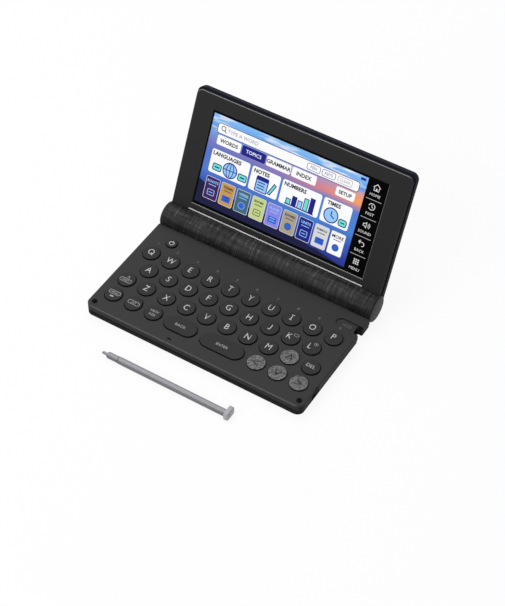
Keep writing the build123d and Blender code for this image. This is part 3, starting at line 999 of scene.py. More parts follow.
def turned(rows: Sequence[Point], axis: Vector, sides: int) -> bmesh.types.BMesh:
    """Closed body turned about a line along X.

    Args:
        rows: X and radius of each ring, in millimetres.
        axis: a point of the line, in millimetres.
        sides: points round each ring.

    Returns:
        The mesh.
    """
    angles = [2 * math.pi * i / sides for i in range(sides)]
    return lofted([[Vector((x, axis.y + radius * math.cos(angle), axis.z + radius * math.sin(angle)))
                    for angle in angles] for x, radius in rows])


def finish_piece(name: str, made: bmesh.types.BMesh, finish: bpy.types.Material, body: str,
                 smooth: bool = False) -> bpy.types.Object:
    """Makes an object of a mesh, dresses it and puts it on its body.

    Args:
        name: the piece's name.
        made: its mesh, which is freed.
        finish: its material.
        body: the body it rides on.
        smooth: shades it smooth, apart from sharp edges.

    Returns:
        The piece.
    """
    mesh = bpy.data.meshes.new(name)
    made.to_mesh(mesh)
    made.free()
    mesh.materials.append(finish)
    if smooth:
        mesh.shade_smooth()
        mesh.set_sharp_from_angle(angle=SHARP)
    piece = bpy.data.objects.new(name, mesh)
    bpy.context.scene.collection.objects.link(piece)
    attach(piece, body)
    return piece


def dress_node(node: str, finish: bpy.types.Material) -> None:
    """Gives a carried-over node its finish.

    Args:
        node: the node's name.
        finish: its material.
    """
    for place in frame["nodes"][node].material_slots:
        place.material = finish
    LOG.info("%s: finish %s", node, finish.name)


# ------------------------------------------------------------------ keys
@dataclass
class KeyCap:
    """One key: a cap with a rounded rim and a slightly dished top, and its legend."""

    node: str
    radius: float = 5.5
    rim: float = 0.5
    dish: float = 0.12
    ear: float = 0.7
    foot_gap: float = 0.05
    print_sink: float = 0.02
    print_thickness: float = 0.05
    ring_steps: int = 6
    round_sides: int = 56

    DISH_RINGS = (0.25, 0.45, 0.7, 0.9)

    def __post_init__(self) -> None:
        """Reads the key's place from its node, whose ears stand out at both sides."""
        low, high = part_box(self.node)
        self.centre = (low + high) / 2 / MM
        self.top, self.bottom = high.z / MM, low.z / MM
        half = (high.x - low.x) / MM / 2 - self.ear
        self.radius = min(self.radius, half - 0.01)
        self.straight = max(half - self.radius, 0.0)

    @property
    def face(self) -> Dish:
        """The top of the key as a surface to print on."""
        middle = Vector((self.centre.x, self.centre.y, self.top - self.dish)) * MM
        return Dish(middle, Vector((1, 0, 0)), Vector((0, 1, 0)), self.dish, self.radius - self.rim,
                    self.straight)

    def outline(self, inset: float) -> list[Point]:
        """Outline of the cap, stadium or round.

        Args:
            inset: how far it lies in from the cap's side.

        Returns:
            The points, anticlockwise.
        """
        points = []
        radius = self.radius - inset
        for i in range(self.round_sides):
            angle = 2 * math.pi * (i + 0.5) / self.round_sides
            side = math.copysign(self.straight, math.cos(angle))
            points.append((self.centre.x + side + radius * math.cos(angle),
                           self.centre.y + radius * math.sin(angle)))
        return points

    def loops(self) -> list[Point]:
        """Loops of the cap, from its foot to the middle of the top.

        Returns:
            Inset and height of each.
        """
        rows = [(0.0, self.bottom + self.foot_gap), (0.0, self.top - self.rim)]
        for step in range(1, self.ring_steps + 1):
            angle = math.pi / 2 * step / self.ring_steps
            rows.append((self.rim * (1 - math.cos(angle)), self.top - self.rim * (1 - math.sin(angle))))
        for part in self.DISH_RINGS:
            sag = self.dish * (1 - (1 - part) ** 2)
            rows.append((self.rim + (self.radius - self.rim) * part, self.top - sag))
        return rows

    def build(self, finish: bpy.types.Material, slot: str) -> None:
        """Builds the cap and puts it on the key's body.

        Args:
            finish: its material.
            slot: the record's material slot; not used.
        """
        rings = [[Vector((x, y, height)) for x, y in self.outline(inset)] for inset, height in self.loops()]
        cap = finish_piece(self.node + "_cap", lofted(rings), finish, self.node, smooth=True)
        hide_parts(self.node)

    def stamp(self, art: FlatArt, name: str, finish: bpy.types.Material, slot: str) -> None:
        """Prints flat art on the top.

        Args:
            art: the shapes, about the middle of the key.
            name: the piece's name.
            finish: its material.
            slot: the record's material slot.
        """
        art.lay(name, self.face, finish, self.node, slot, -self.print_sink, self.print_thickness)
        LOG.info("%s: %s", self.node, name)


class Mark(Enum):
    """Plain marks printed on the keys that carry no letter."""

    SHIFT = "shift"
    MENU = "menu"
    LIST = "list"
    VIEW = "view"
    ENTER = "enter"
    BACK = "back"
    DELETE = "delete"
    POWER = "power"
    LEFT = "left"
    RIGHT = "right"
    UP = "up"
    DOWN = "down"


class MarkArt(FlatArt):
    """Draws the marks, each about the middle of its key."""

    TURNS = {Mark.RIGHT: 0, Mark.UP: 90, Mark.LEFT: 180, Mark.DOWN: 270}
    CHEVRON = ((-2.1, 2.0), (1.9, 0.0), (-2.1, -2.0))
    CHEVRON_LINE = 0.62
    # Words in a rounded frame, and where they stand.
    PILLS = {Mark.SHIFT: ("SHIFT", -0.2, -1.0), Mark.MENU: ("MENU", 0.1, 1.1), Mark.LIST: ("LIST", 0.0, 0.3)}
    PILL_WIDTH, PILL_HEIGHT, PILL_LINE, PILL_ROUND, PILL_CAPITAL = 7.6, 2.7, 0.3, 1.2, 1.35
    # Plain words: what they say, where, height of a capital, weight and points in a curve.
    WORDS = {Mark.SHIFT: (("A", 0.1, 2.2, 1.9),), Mark.ENTER: (("ENTER", 0.0, 0.0, 1.8),),
             Mark.BACK: (("BACK", 0.0, 0.0, 1.9),), Mark.DELETE: (("DEL", -0.3, 0.6, 2.4, 0.06),),
             Mark.VIEW: (("VIEW", 0.0, 1.4, 1.7, 0.02, 2), ("SIZE", 0.0, -1.5, 1.7, 0.02, 2))}
    # Bars: place, width, height and rounding of the corners.
    BARS = {Mark.MENU: (-0.1, -2.1, 2.4, 1.1, 0.2), Mark.POWER: (0.0, 1.4, 0.42, 1.3)}
    # The open ring: place, radius, line, and where it starts and ends.
    RINGS = {Mark.POWER: (0.0, 0.0, 1.45, 0.42, 112, 428)}

    def draw(self, mark: Mark) -> "MarkArt":
        """Draws one mark.

        Args:
            mark: which one.

        Returns:
            Itself.
        """
        if mark in self.TURNS:
            angle = math.radians(self.TURNS[mark])
            cos, sin = math.cos(angle), math.sin(angle)
            self.stroke([(x * cos - y * sin, x * sin + y * cos) for x, y in self.CHEVRON], self.CHEVRON_LINE)
        if mark in self.PILLS:
            word, x, y = self.PILLS[mark]
            self.frame(x, y, self.PILL_WIDTH, self.PILL_HEIGHT, self.PILL_LINE, self.PILL_ROUND)
            self.text(word, x, y, self.PILL_CAPITAL, 0.02, 2)
        for words in self.WORDS.get(mark, ()):
            self.text(*words)
        if mark in self.RINGS:
            self.arc(*self.RINGS[mark])
        if mark in self.BARS:
            self.rect(*self.BARS[mark])
        return self


@dataclass
class Keyboard:
    """All keys with their legends, and the small figures printed behind the top row."""

    palette: Palette
    power_radius: float = 3.5
    arrow_rim: float = 0.35
    letter_height: float = 4.15
    letter_width: float = 0.88
    letter_weight: float = -0.005
    figure_height: float = 2.0
    figure_shift: float = -0.8
    figure_rise: float = 9.2
    marks: dict[str, Mark] = field(default_factory=lambda: {
        "key_fn": Mark.SHIFT, "key_delete": Mark.DELETE, "key_f1": Mark.MENU, "key_f2": Mark.LIST,
        "key_f3": Mark.VIEW, "key_back": Mark.BACK, "key_enter": Mark.ENTER, "key_power": Mark.POWER})
    arrows: dict[str, Mark] = field(default_factory=lambda: {
        "key_left": Mark.LEFT, "key_right": Mark.RIGHT, "key_up": Mark.UP, "key_down": Mark.DOWN})
    drifts: dict[str, Point] = field(default_factory=lambda: {
        "qwertyuiop": (-0.35, 0.7), "asdfghjkl": (-0.2, 0.45), "zxcvbnm": (-0.1, 0.25)})
    shifted: dict[str, Point] = field(default_factory=lambda: {"k": (-1.0, 0.3), "l": (-1.2, 0.1)})

    Q_TAIL, Q_LINE = ((0.35, -0.75), (1.75, -2.35)), 0.5
    I_FOOT_WIDTH, I_FOOT_HEIGHT, I_FOOT_INSET = 1.7, 0.42, 0.22
    J_SIDE, J_BOW, J_LINE, J_STEPS, J_STEP = 0.6, 0.72, 0.47, 9, 19.0

    def letter(self, letter: str) -> FlatArt:
        """Flat art of one letter; Q, I and J have their own plain shapes.

        Args:
            letter: which one.

        Returns:
            The art.
        """
        drift = next(drift for row, drift in self.drifts.items() if letter in row)
        shift = self.shifted.get(letter, (0.0, 0.0))
        art = FlatArt().at(shift[0] + drift[0], shift[1] + drift[1])
        if letter == "j":
            return self.hook(art)
        shape, steps = ("O", 4) if letter == "q" else (letter.upper(), 3)
        art.text(shape, 0.0, 0.0, self.letter_height, self.letter_weight, steps, self.letter_width)
        if letter == "q":
            art.stroke(self.Q_TAIL, self.Q_LINE)
        if letter == "i":
            for side in (-1, 1):
                art.rect(0.0, side * (self.letter_height / 2 - self.I_FOOT_INSET), self.I_FOOT_WIDTH,
                         self.I_FOOT_HEIGHT)
        return art

    def hook(self, art: FlatArt) -> FlatArt:
        """Draws the letter J: a stem that bows to the left at its foot.

        Args:
            art: where to draw it.

        Returns:
            The art.
        """
        foot = self.J_BOW + self.J_LINE / 2 - self.letter_height / 2
        points = [(self.J_SIDE, self.letter_height / 2)]
        for step in range(self.J_STEPS):
            angle = -math.radians(self.J_STEP * step)
            points.append((self.J_SIDE - self.J_BOW + self.J_BOW * math.cos(angle),
                           foot + self.J_BOW * math.sin(angle)))
        return art.stroke(points, self.J_LINE)

    def letters(self) -> None:
        """Builds the letter keys, two of which carry a small sign beside the letter."""
        signs = {"k": FlatArt().frame(2.2, 3.0, 3.2, 1.7, 0.32, 0.8),
                 "l": FlatArt().arc(1.2, 3.2, 1.1, 0.3).disc(1.2, 3.2, 0.45, 12)}
        for letter in "".join(self.drifts):
            cap = KeyCap("key_" + letter)
            cap.build(self.palette.key, "key_plastic")
            cap.stamp(self.letter(letter), "legend_" + letter, self.palette.legend, "key_plastic")
            if letter in signs:
                cap.stamp(signs[letter], "sign_" + letter, self.palette.legend_sign, "key_plastic")

    def marked(self) -> None:
        """Builds the keys with marks, the wide keys and the power key among them."""
        for node, mark in self.marks.items():
            power = mark is Mark.POWER
            cap = KeyCap(node, radius=self.power_radius) if power else KeyCap(node)
            cap.build(self.palette.key, "key_plastic")
            finish = self.palette.legend if power else self.palette.legend_soft
            cap.stamp(MarkArt().draw(mark), node.replace("key", "mark"), finish, "key_plastic")

    def arrow_keys(self) -> None:
        """Builds the four light keys with chevrons."""
        for node, mark in self.arrows.items():
            cap = KeyCap(node, rim=self.arrow_rim)
            cap.build(self.palette.arrow, "arrow_key_plastic")
            cap.stamp(MarkArt().draw(mark), node.replace("key", "mark"), self.palette.legend_dark,
                      "arrow_key_plastic")

    def figures(self, deck: Surface) -> None:
        """Prints the row of small figures on the deck, behind each top-row key.

        Args:
            deck: the deck's top.
        """
        for place, letter in enumerate(next(iter(self.drifts))):
            low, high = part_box("key_" + letter)
            centre = (low + high) / 2 / MM
            figure = str((place + 1) % 10)
            art = FlatArt().text(figure, centre.x + self.figure_shift, centre.y + self.figure_rise,
                                 self.figure_height, 0.02)
            art.lay("figure_" + figure, deck, self.palette.legend_grey, "base", "deck_plastic")
        LOG.info("figures behind the top row")


# ------------------------------------------------------------------ base
@dataclass
class Base:
    """The lower half: deck, case, barrel and what is inside."""

    palette: Palette
    finishes: dict[str, str] = field(default_factory=lambda: {
        "bottom_case": "case", "top_cover": "deck", "corner_bumpers": "rubber", "rubber_feet": "rubber",
        "case_screws": "steel", "keypad_membrane": "silicone", "main_board": "board",
        "speaker": "speaker", "stylus_sleeve": "case", "usb_socket": "steel", "barrel_shell": "barrel",
        "battery_cells": "cell", "battery_contacts": "steel", "hinge_pins": "steel",
        "battery_cover": "barrel"})
    slot_place: Point = (-17.0, -49.0)
    slot_length: float = 2.8
    slot_width: float = 0.9
    slot_depth: float = 0.6
    recess_depth: float = 0.7
    pen_nib: float = 62.6
    pen_neck: float = 64.2
    pen_end: float = 67.8
    pen_half: float = 0.8

    @property
    def deck(self) -> Surface:
        """The deck's top as a surface to print on."""
        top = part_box("top_cover")[1].z
        return Surface(Vector((0, 0, top)), Vector((1, 0, 0)), Vector((0, 1, 0)))

    def dress(self) -> None:
        """Gives every node of the base its finish."""
        for node, finish in self.finishes.items():
            dress_node(node, getattr(self.palette, finish))

    def speaker_slot(self) -> None:
        """Fills the small slot near the deck's front with a near-black block: painted shade for the slot's
        depth.
        """
        gap = 0.02
        art = FlatArt().rect(*self.slot_place, self.slot_length - gap, self.slot_width - gap,
                             self.slot_width / 2 - gap)
        # painted shade inside the slot
        art.lay("slot_painted_shade", self.deck, self.palette.shadow, "base", "deck_plastic", -self.slot_depth,
                self.slot_depth - 0.05)
        LOG.info("slot floor")

    def stylus_mark(self) -> None:
        """Prints the small outline of a pen beside the finger recess."""
        low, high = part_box("stylus_sleeve")
        y, half = (low.y + high.y) / 2 / MM, self.pen_half
        art = FlatArt().at(0.0, y)
        art.stroke([(self.pen_nib, 0.0), (self.pen_neck, half), (self.pen_end, half), (self.pen_end, -half),
                    (self.pen_neck, -half)], 0.3, True)
        art.rect(self.pen_neck, 0.0, 0.25, 2 * half)
        recess = Surface(self.deck.at(0.0, 0.0, -self.recess_depth), self.deck.across, self.deck.up)
        art.lay("stylus_mark", recess, self.palette.legend_faint, "base", "deck_plastic", thickness=0.02)
        LOG.info("mark in the finger recess")


# ------------------------------------------------------------------ lid
class ScreenFace:
    """Sizes of the lit face, in millimetres on the lid."""

    HALF = 59.95
    LOW = 13.9
    HIGH = 75.7
    LIT_LEFT = -58.9
    LIT_RIGHT = 46.6
    LIT_LOW = 15.7
    LIT_HIGH = 74.3
    SINK = 0.5


class TouchArt(FlatArt):
    """Draws the signs of the touch keys, each about the point set by at()."""

    def home(self) -> None:
        """A small house."""
        self.stroke([(-2.3, 0.1), (0.0, 2.2), (2.3, 0.1)], 0.42)
        self.stroke([(-1.6, 0.2), (-1.6, -1.9), (1.6, -1.9), (1.6, 0.2)], 0.38)
        self.rect(0.0, -1.1, 0.9, 1.3)

    def past(self) -> None:
        """A clock face."""
        self.arc(0.0, 0.0, 2.0, 0.4, -150, 170)
        self.stroke([(0.0, 1.3), (0.0, 0.0), (1.0, -0.6)], 0.36)

    def sound(self) -> None:
        """A sounder with two waves."""
        self.stroke([(-2.1, -0.7), (-1.2, -0.7), (-0.1, -1.7), (-0.1, 1.7), (-1.2, 0.7), (-2.1, 0.7)],
                    0.36, True)
        self.arc(0.1, 0.0, 1.1, 0.36, -50, 50).arc(0.1, 0.0, 2.1, 0.36, -50, 50)

    def back(self) -> None:
        """An arrow that turns back."""
        self.arc(0.6, -0.4, 1.3, 0.4, -90, 90)
        self.stroke([(0.6, 0.9), (-1.6, 0.9)], 0.4)
        self.stroke([(-0.7, 2.0), (-1.8, 0.9), (-0.7, -0.2)], 0.4)

    def menu(self) -> None:
        """Nine small squares."""
        pitch, side = 1.3, 0.85
        for row in (-pitch, 0.0, pitch):
            for column in (-pitch, 0.0, pitch):
                self.rect(column, row, side, side)


@dataclass
class Lid:
    """The lid: shells, bright strip, and the glass with what it shows."""

    palette: Palette
    plane: LidPlane
    finishes: dict[str, str] = field(default_factory=lambda: {
        "lid_bezel": "bezel", "lid_back_cover": "lid", "hinge_knuckles": "barrel",
        "display_panel": "module", "trim_strip": "trim"})
    # size and place of the painted shade over the gap above the bright strip, in millimetres
    gap_shade_half: float = 61.0
    gap_shade_low: float = 9.95
    gap_shade_width: float = 0.5
    knuckle_radius: float = 8.77
    knuckle_round: float = 1.2
    knuckle_length: float = 2.9
    knuckle_bevel: float = 0.1
    knuckle_skin: float = 0.03
    knuckle_sides: int = 72
    knuckle_steps: int = 6
    glass_corner: float = 0.4
    glass_sink: float = 0.86
    glass_thickness: float = 0.8
    layer_pitch: float = 0.03
    layer_thickness: float = 0.04
    touch_words: tuple[str, ...] = ("MENU", "BACK", "SOUND", "PAST", "HOME")
    touch_sign_rise: float = 1.8
    touch_word_drop: float = 2.9
    touch_word_height: float = 1.7
    touch_line_length: float = 10.2
    touch_line_width: float = 0.4

    def dress(self) -> None:
        """Gives the lid's nodes their finish."""
        for node, finish in self.finishes.items():
            dress_node(node, getattr(self.palette, finish))

    @property
    def face(self) -> Surface:
        """Face of the glass as a surface to print on."""
        origin = self.plane.at(0, 0, LidPlane.FACE - ScreenFace.SINK)
        return Surface(origin, self.plane.across, self.plane.up)

    def knuckle_ends(self) -> None:
        """Builds the flat ends of the two hinge knuckles, turned about the hinge axis."""
        low, high = (corner.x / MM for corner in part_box("hinge_knuckles"))
        bevel, bend, radius = self.knuckle_bevel, self.knuckle_round, self.knuckle_radius
        rows = [(self.knuckle_length, radius - bevel), (self.knuckle_length - bevel, radius)]
        for step in range(self.knuckle_steps + 1):
            angle = math.pi / 2 * step / self.knuckle_steps
            rows.append((bend * (1 - math.sin(angle)), radius - bend * (1 - math.cos(angle))))
        skin = self.knuckle_skin
        for name, end, side in (("left", low - skin, -1), ("right", high + skin, 1)):
            made = turned([(end - side * inward, out) for inward, out in rows], self.plane.origin / MM,
                          self.knuckle_sides)
            finish_piece("knuckle_end_" + name, made, self.palette.barrel, "lid", True)
            LOG.info("knuckle end, %s", name)

    def glass(self) -> None:
        """Builds the black glass plate and the lit area on it."""
        plate = FlatArt().rect(0.0, (ScreenFace.LOW + ScreenFace.HIGH) / 2, 2 * ScreenFace.HALF,
                               ScreenFace.HIGH - ScreenFace.LOW, self.glass_corner)
        piece = plate.lay("screen_glass", self.face, self.palette.glass, "lid", "glass", -self.glass_sink,
                          self.glass_thickness)
        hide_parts("touch_glass")
        left, right = ScreenFace.LIT_LEFT, ScreenFace.LIT_RIGHT
        low, high = ScreenFace.LIT_LOW, ScreenFace.LIT_HIGH
        lit = FlatArt().rect((left + right) / 2, (low + high) / 2, right - left, high - low)
        lit.lay("screen_picture", self.face, self.palette.sky, "lid", "display", -0.05, 0.05)
        LOG.info("glass and lit area")

    def groove(self) -> None:
        """Lays a near-black strip over the narrow gap between the bezel and the bright strip under the
        glass: painted shade in the gap.
        """
        line = FlatArt().rect(0.0, self.gap_shade_low + self.gap_shade_width / 2, 2 * self.gap_shade_half,
                              self.gap_shade_width)
        face = Surface(self.plane.at(0, 0, LidPlane.FACE), self.plane.across, self.plane.up)
        # painted shade in the gap
        line.lay("strip_gap_painted_shade", face, self.palette.shadow, "lid", "bezel_plastic", -0.02, 0.05)
        LOG.info("gap over the bright strip")

    def show(self, name: str, tone: Tone, layer: int, art: FlatArt) -> None:
        """Lays one group of lit marks on the glass.

        Args:
            name: the piece's name.
            tone: its colour.
            layer: which layer it lies in, from 0.
            art: the shapes.
        """
        art.lay("screen_" + name, self.face, self.palette.lit[tone], "lid", "display",
                layer * self.layer_pitch, self.layer_thickness)
        LOG.info("screen_%s", name)

    def touch_strip(self) -> None:
        """Draws the five touch keys beside the picture, with lines between them."""
        middle = (ScreenFace.LIT_RIGHT + ScreenFace.HALF) / 2 - 0.2
        pitch = (ScreenFace.HIGH - ScreenFace.LOW - 1.6) / len(self.touch_words)
        lines, marks = FlatArt(), TouchArt()
        for row, word in enumerate(self.touch_words):
            cell = ScreenFace.LOW + 0.6 + (row + 0.5) * pitch
            if row:
                lines.rect(middle, cell - pitch / 2, self.touch_line_length, self.touch_line_width)
            marks.at(middle, cell + self.touch_sign_rise)
            getattr(marks, word.lower())()
            marks.at(middle, cell - self.touch_word_drop)
            marks.text(word, 0.0, 0.0, self.touch_word_height, -0.01, 2)
        self.show("strip_lines", Tone.ASH, 0, lines)
        self.show("strip_marks", Tone.CHALK, 0, marks)


class CardArt:
    """Draws the figures on the cards, gathered by colour, each about the point set by at()."""

    def __init__(self) -> None:
        """Starts with nothing."""
        self.line, self.pale, self.teal = FlatArt(), FlatArt(), FlatArt()

    def at(self, x: float, y: float) -> None:
        """Moves to the middle of the next figure."""
        for art in (self.line, self.pale, self.teal):
            art.at(x, y)

    def globe(self) -> None:
        """A globe between two framed bars."""
        middle, radius = 1.0, 4.8
        self.pale.disc(middle, 0.0, radius)
        self.line.arc(middle, 0.0, radius, 0.65)
        self.line.rect(middle, 0.0, 2 * radius, 0.5).rect(middle, 0.0, 0.5, 2 * radius)
        for side in (-1, 1):
            turns = (math.radians(degrees) for degrees in range(-90, 91, 20))
            self.line.stroke([(middle + side * radius / 2 * math.cos(turn), radius * math.sin(turn))
                              for turn in turns], 0.5)
            bar = middle + side * 8.9
            self.teal.rect(bar, -1.2, 5.8, 4.2, 0.9)
            self.line.frame(bar, -1.2, 5.8, 4.2, 0.6, 0.9).rect(bar, -1.2, 3.2, 0.8)

    def sheet(self) -> None:
        """A ruled sheet with a pencil."""
        self.pale.rect(-1.4, 0.0, 8.0, 9.4, 0.7)
        self.line.frame(-1.4, 0.0, 8.0, 9.4, 0.65, 0.7).rect(-1.4, 3.4, 7.6, 2.2)
        for row in (1.0, -0.8, -2.6):
            self.line.rect(-1.8, row, 5.0, 0.65)
        pencil = [(3.4, -3.6), (5.0, -4.0), (8.2, 2.8), (6.6, 3.6)]
        self.teal.poly(pencil)
        self.line.stroke(pencil, 0.6, True)

    def bars(self) -> None:
        """A chart of five bars."""
        foot, width = -4.4, 2.8
        for place, height in enumerate((3.4, 6.0, 4.8, 7.8, 9.4)):
            bar = (-7.2 + place * 3.9, foot + height / 2, width, height)
            (self.teal, self.line, self.pale)[place % 3].rect(*bar)
            self.line.frame(*bar, 0.55)
        self.line.rect(0.6, -4.6, 20.0, 0.7)

    def dial(self) -> None:
        """A dial with hands, and a small bubble."""
        middle, radius = -2.8, 4.6
        self.pale.disc(middle, 0.0, radius)
        self.line.arc(middle, 0.0, radius, 0.7)
        self.line.stroke([(middle, 2.8), (middle, 0.0), (middle + 2.4, -1.4)], 0.65)
        self.teal.rect(5.4, -1.8, 5.2, 4.2, 1.3)
        self.line.frame(5.4, -1.8, 5.2, 4.2, 0.6, 1.3).rect(5.4, -1.8, 2.6, 0.7)


@dataclass
class Page:
    """The generic start page on the lit area: an entry bar, tabs, four cards and a shelf of tiles."""

    lid: Lid
    left: float = -54.6
    right: float = 42.4
    bar_y: float = 66.4
    bar_height: float = 6.4
    bar_round: float = 1.6
    button_height: float = 4.0
    button_round: float = 1.0
    tab_y: float = 59.2
    tab_pitch: float = 17.4
    tab_height: float = 6.2
    tab_round: float = 1.0
    tab_words: tuple[str, ...] = ("WORDS", "TOPICS", "GRAMMAR", "INDEX")
    chosen: str = "TOPICS"
    card_y: float = 45.2
    card_height: float = 15.2
    card_round: float = 1.4
    card_gap: float = 1.5
    tile_y: float = 27.6
    tile_height: float = 14.4
    tile_round: float = 0.9
    tiles: dict[str, Tone] = field(default_factory=lambda: {
        "ROOTS": Tone.PLUM, "TERMS": Tone.SAND, "VERBS": Tone.SLATE, "IDIOMS": Tone.LEAF,
        "PLACES": Tone.LILAC, "RHYMES": Tone.STONE, "UNITS": Tone.NAVY, "SYMBOLS": Tone.SILVER,
        "MORE": Tone.WHITE})

    LIGHT = (Tone.SAND, Tone.LEAF, Tone.STONE, Tone.SILVER, Tone.WHITE)

    def draw(self) -> None:
        """Draws the page."""
        for part in (self.bar, self.tabs, self.cards, self.shelf):
            part()

    @property
    def width(self) -> float:
        """Width of the page."""
        return self.right - self.left

    def bar(self) -> None:
        """Entry bar with a lens, a hint and three small buttons."""
        field_box = ((self.left + self.right) / 2, self.bar_y, self.width, self.bar_height)
        self.lid.show("bar", Tone.WHITE, 0, FlatArt().rect(*field_box, self.bar_round))
        navy = FlatArt().frame(*field_box, 0.4, self.bar_round)
        navy.rect(self.right + 1.2, self.bar_y + 6.0, 3.4, 1.5)
        for place, word in enumerate(("PEN", "KEYS")):
            x = self.right - 30.5 + place * 10.2
            navy.frame(x, self.bar_y, 8.8, self.button_height, 0.32, self.button_round)
            navy.text(word, x, self.bar_y, 1.7, 0.0, 2)
        self.lid.show("bar_line", Tone.NAVY, 1, navy)
        lens = FlatArt().at(self.left + 4.0, self.bar_y)
        lens.arc(0.0, 0.5, 1.4, 0.45).stroke([(1.0, -0.6), (2.2, -1.8)], 0.55)
        self.lid.show("bar_ink", Tone.GREY, 1, lens)
        mist = FlatArt().text("TYPE A WORD", self.left + 17.6, self.bar_y, 2.2, 0.0, 2)
        x = self.right - 9.4
        mist.frame(x, self.bar_y, 9.4, self.button_height, 0.3, self.button_round)
        mist.text("CLEAR", x, self.bar_y, 1.6)
        self.lid.show("bar_mist", Tone.MIST, 1, mist)

    def tabs(self) -> None:
        """Row of tabs under the bar, one of them chosen, and a button at the right."""
        size = (self.tab_pitch - 0.8, self.tab_height, self.tab_round)
        white, ink = FlatArt(), FlatArt()
        for place, word in enumerate(self.tab_words):
            x = self.left + 9.6 + place * self.tab_pitch
            if word == self.chosen:
                self.lid.show("tab", Tone.NAVY, 0, FlatArt().rect(x, self.tab_y, *size))
                self.lid.show("tab_ink", Tone.WHITE, 1, FlatArt().text(word, x, self.tab_y, 2.2, 0.02, 2))
            else:
                white.rect(x, self.tab_y, *size)
                ink.text(word, x, self.tab_y, 2.3, 0.1, 2)
        x = self.right - 7.2
        white.rect(x, self.tab_y, 12.6, 5.6, self.tab_round)
        ink.text("SETUP", x, self.tab_y, 2.1, 0.1, 2)
        self.lid.show("tabs", Tone.WHITE, 0, white)
        self.lid.show("tabs_ink", Tone.GREY, 1, ink)

    def cards(self) -> None:
        """Four white cards of two widths, each with a title and a line figure."""
        art, white, ink = CardArt(), FlatArt(), FlatArt()
        room = self.width - self.card_gap * 3
        edge = self.left
        for title, share, figure in (("LANGUAGES", 0.29, art.globe), ("NOTES", 0.215, art.sheet),
                                     ("NUMBERS", 0.29, art.bars), ("TIMES", 0.205, art.dial)):
            width = room * share
            white.rect(edge + width / 2, self.card_y, width, self.card_height, self.card_round)
            ink.text(title, edge + 2.0 + len(title) * 0.98, self.card_y + 5.2, 2.35, 0.13, 2)
            art.at(edge + width / 2, self.card_y - 2.1)
            figure()
            edge += width + self.card_gap
        self.lid.show("cards", Tone.WHITE, 0, white)
        self.lid.show("cards_ink", Tone.GREY, 1, ink)
        self.lid.show("cards_pale", Tone.PALE, 1, art.pale)
        self.lid.show("cards_teal", Tone.TEAL, 1, art.teal)
        self.lid.show("cards_line", Tone.NAVY, 2, art.line)

    def shelf(self) -> None:
        """Row of coloured tiles with short titles."""
        pitch = (self.width + 1.4) / len(self.tiles)
        width = pitch - 1.5
        ink, pale, rim, spot = (FlatArt() for _ in range(4))
        for place, (title, tone) in enumerate(self.tiles.items()):
            x = self.left + pitch * (place + 0.5) - 0.2
            tile = FlatArt().rect(x, self.tile_y, width, self.tile_height, self.tile_round)
            self.lid.show(f"tile_{place + 1}", tone, 0, tile)
            rim.frame(x, self.tile_y, width, self.tile_height, 0.3, self.tile_round)
            words = (ink if tone in self.LIGHT else pale).at(x, self.tile_y)
            words.text(title, 0.0, 4.4, min(2.0, 8.0 / len(title)), 0.06, 2)
            words.rect(0.0, 2.2, width - 4.0, 0.45)
            self.emblem(place, words.at(x, self.tile_y - 2.6), spot.at(x, self.tile_y - 2.6))
        self.lid.show("tiles_rim", Tone.SILVER, 1, rim)
        self.lid.show("tiles_ink", Tone.GREY, 1, ink)
        self.lid.show("tiles_pale", Tone.PALE, 1, pale)
        self.lid.show("tiles_spot", Tone.BLUE, 1, spot)

    @staticmethod
    def emblem(place: int, words: FlatArt, spot: FlatArt) -> None:
        """Small plain emblem of one tile, one of three kinds in turn.

        Args:
            place: which tile.
            words: art in the tile's ink, set to the emblem's middle.
            spot: art in blue, set to the same.
        """
        if place % 3 == 0:
            words.frame(0.0, 0.0, 4.6, 3.6, 0.4, 0.4).rect(0.0, 0.0, 2.6, 0.45)
        elif place % 3 == 1:
            spot.rect(0.0, -0.2, 5.8, 4.0, 0.5)
            words.rect(0.0, 0.8, 3.8, 0.5).rect(0.0, -0.8, 3.8, 0.5)
        else:
            spot.disc(0.0, 0.0, 2.1)
            words.arc(0.0, 0.0, 2.1, 0.4)


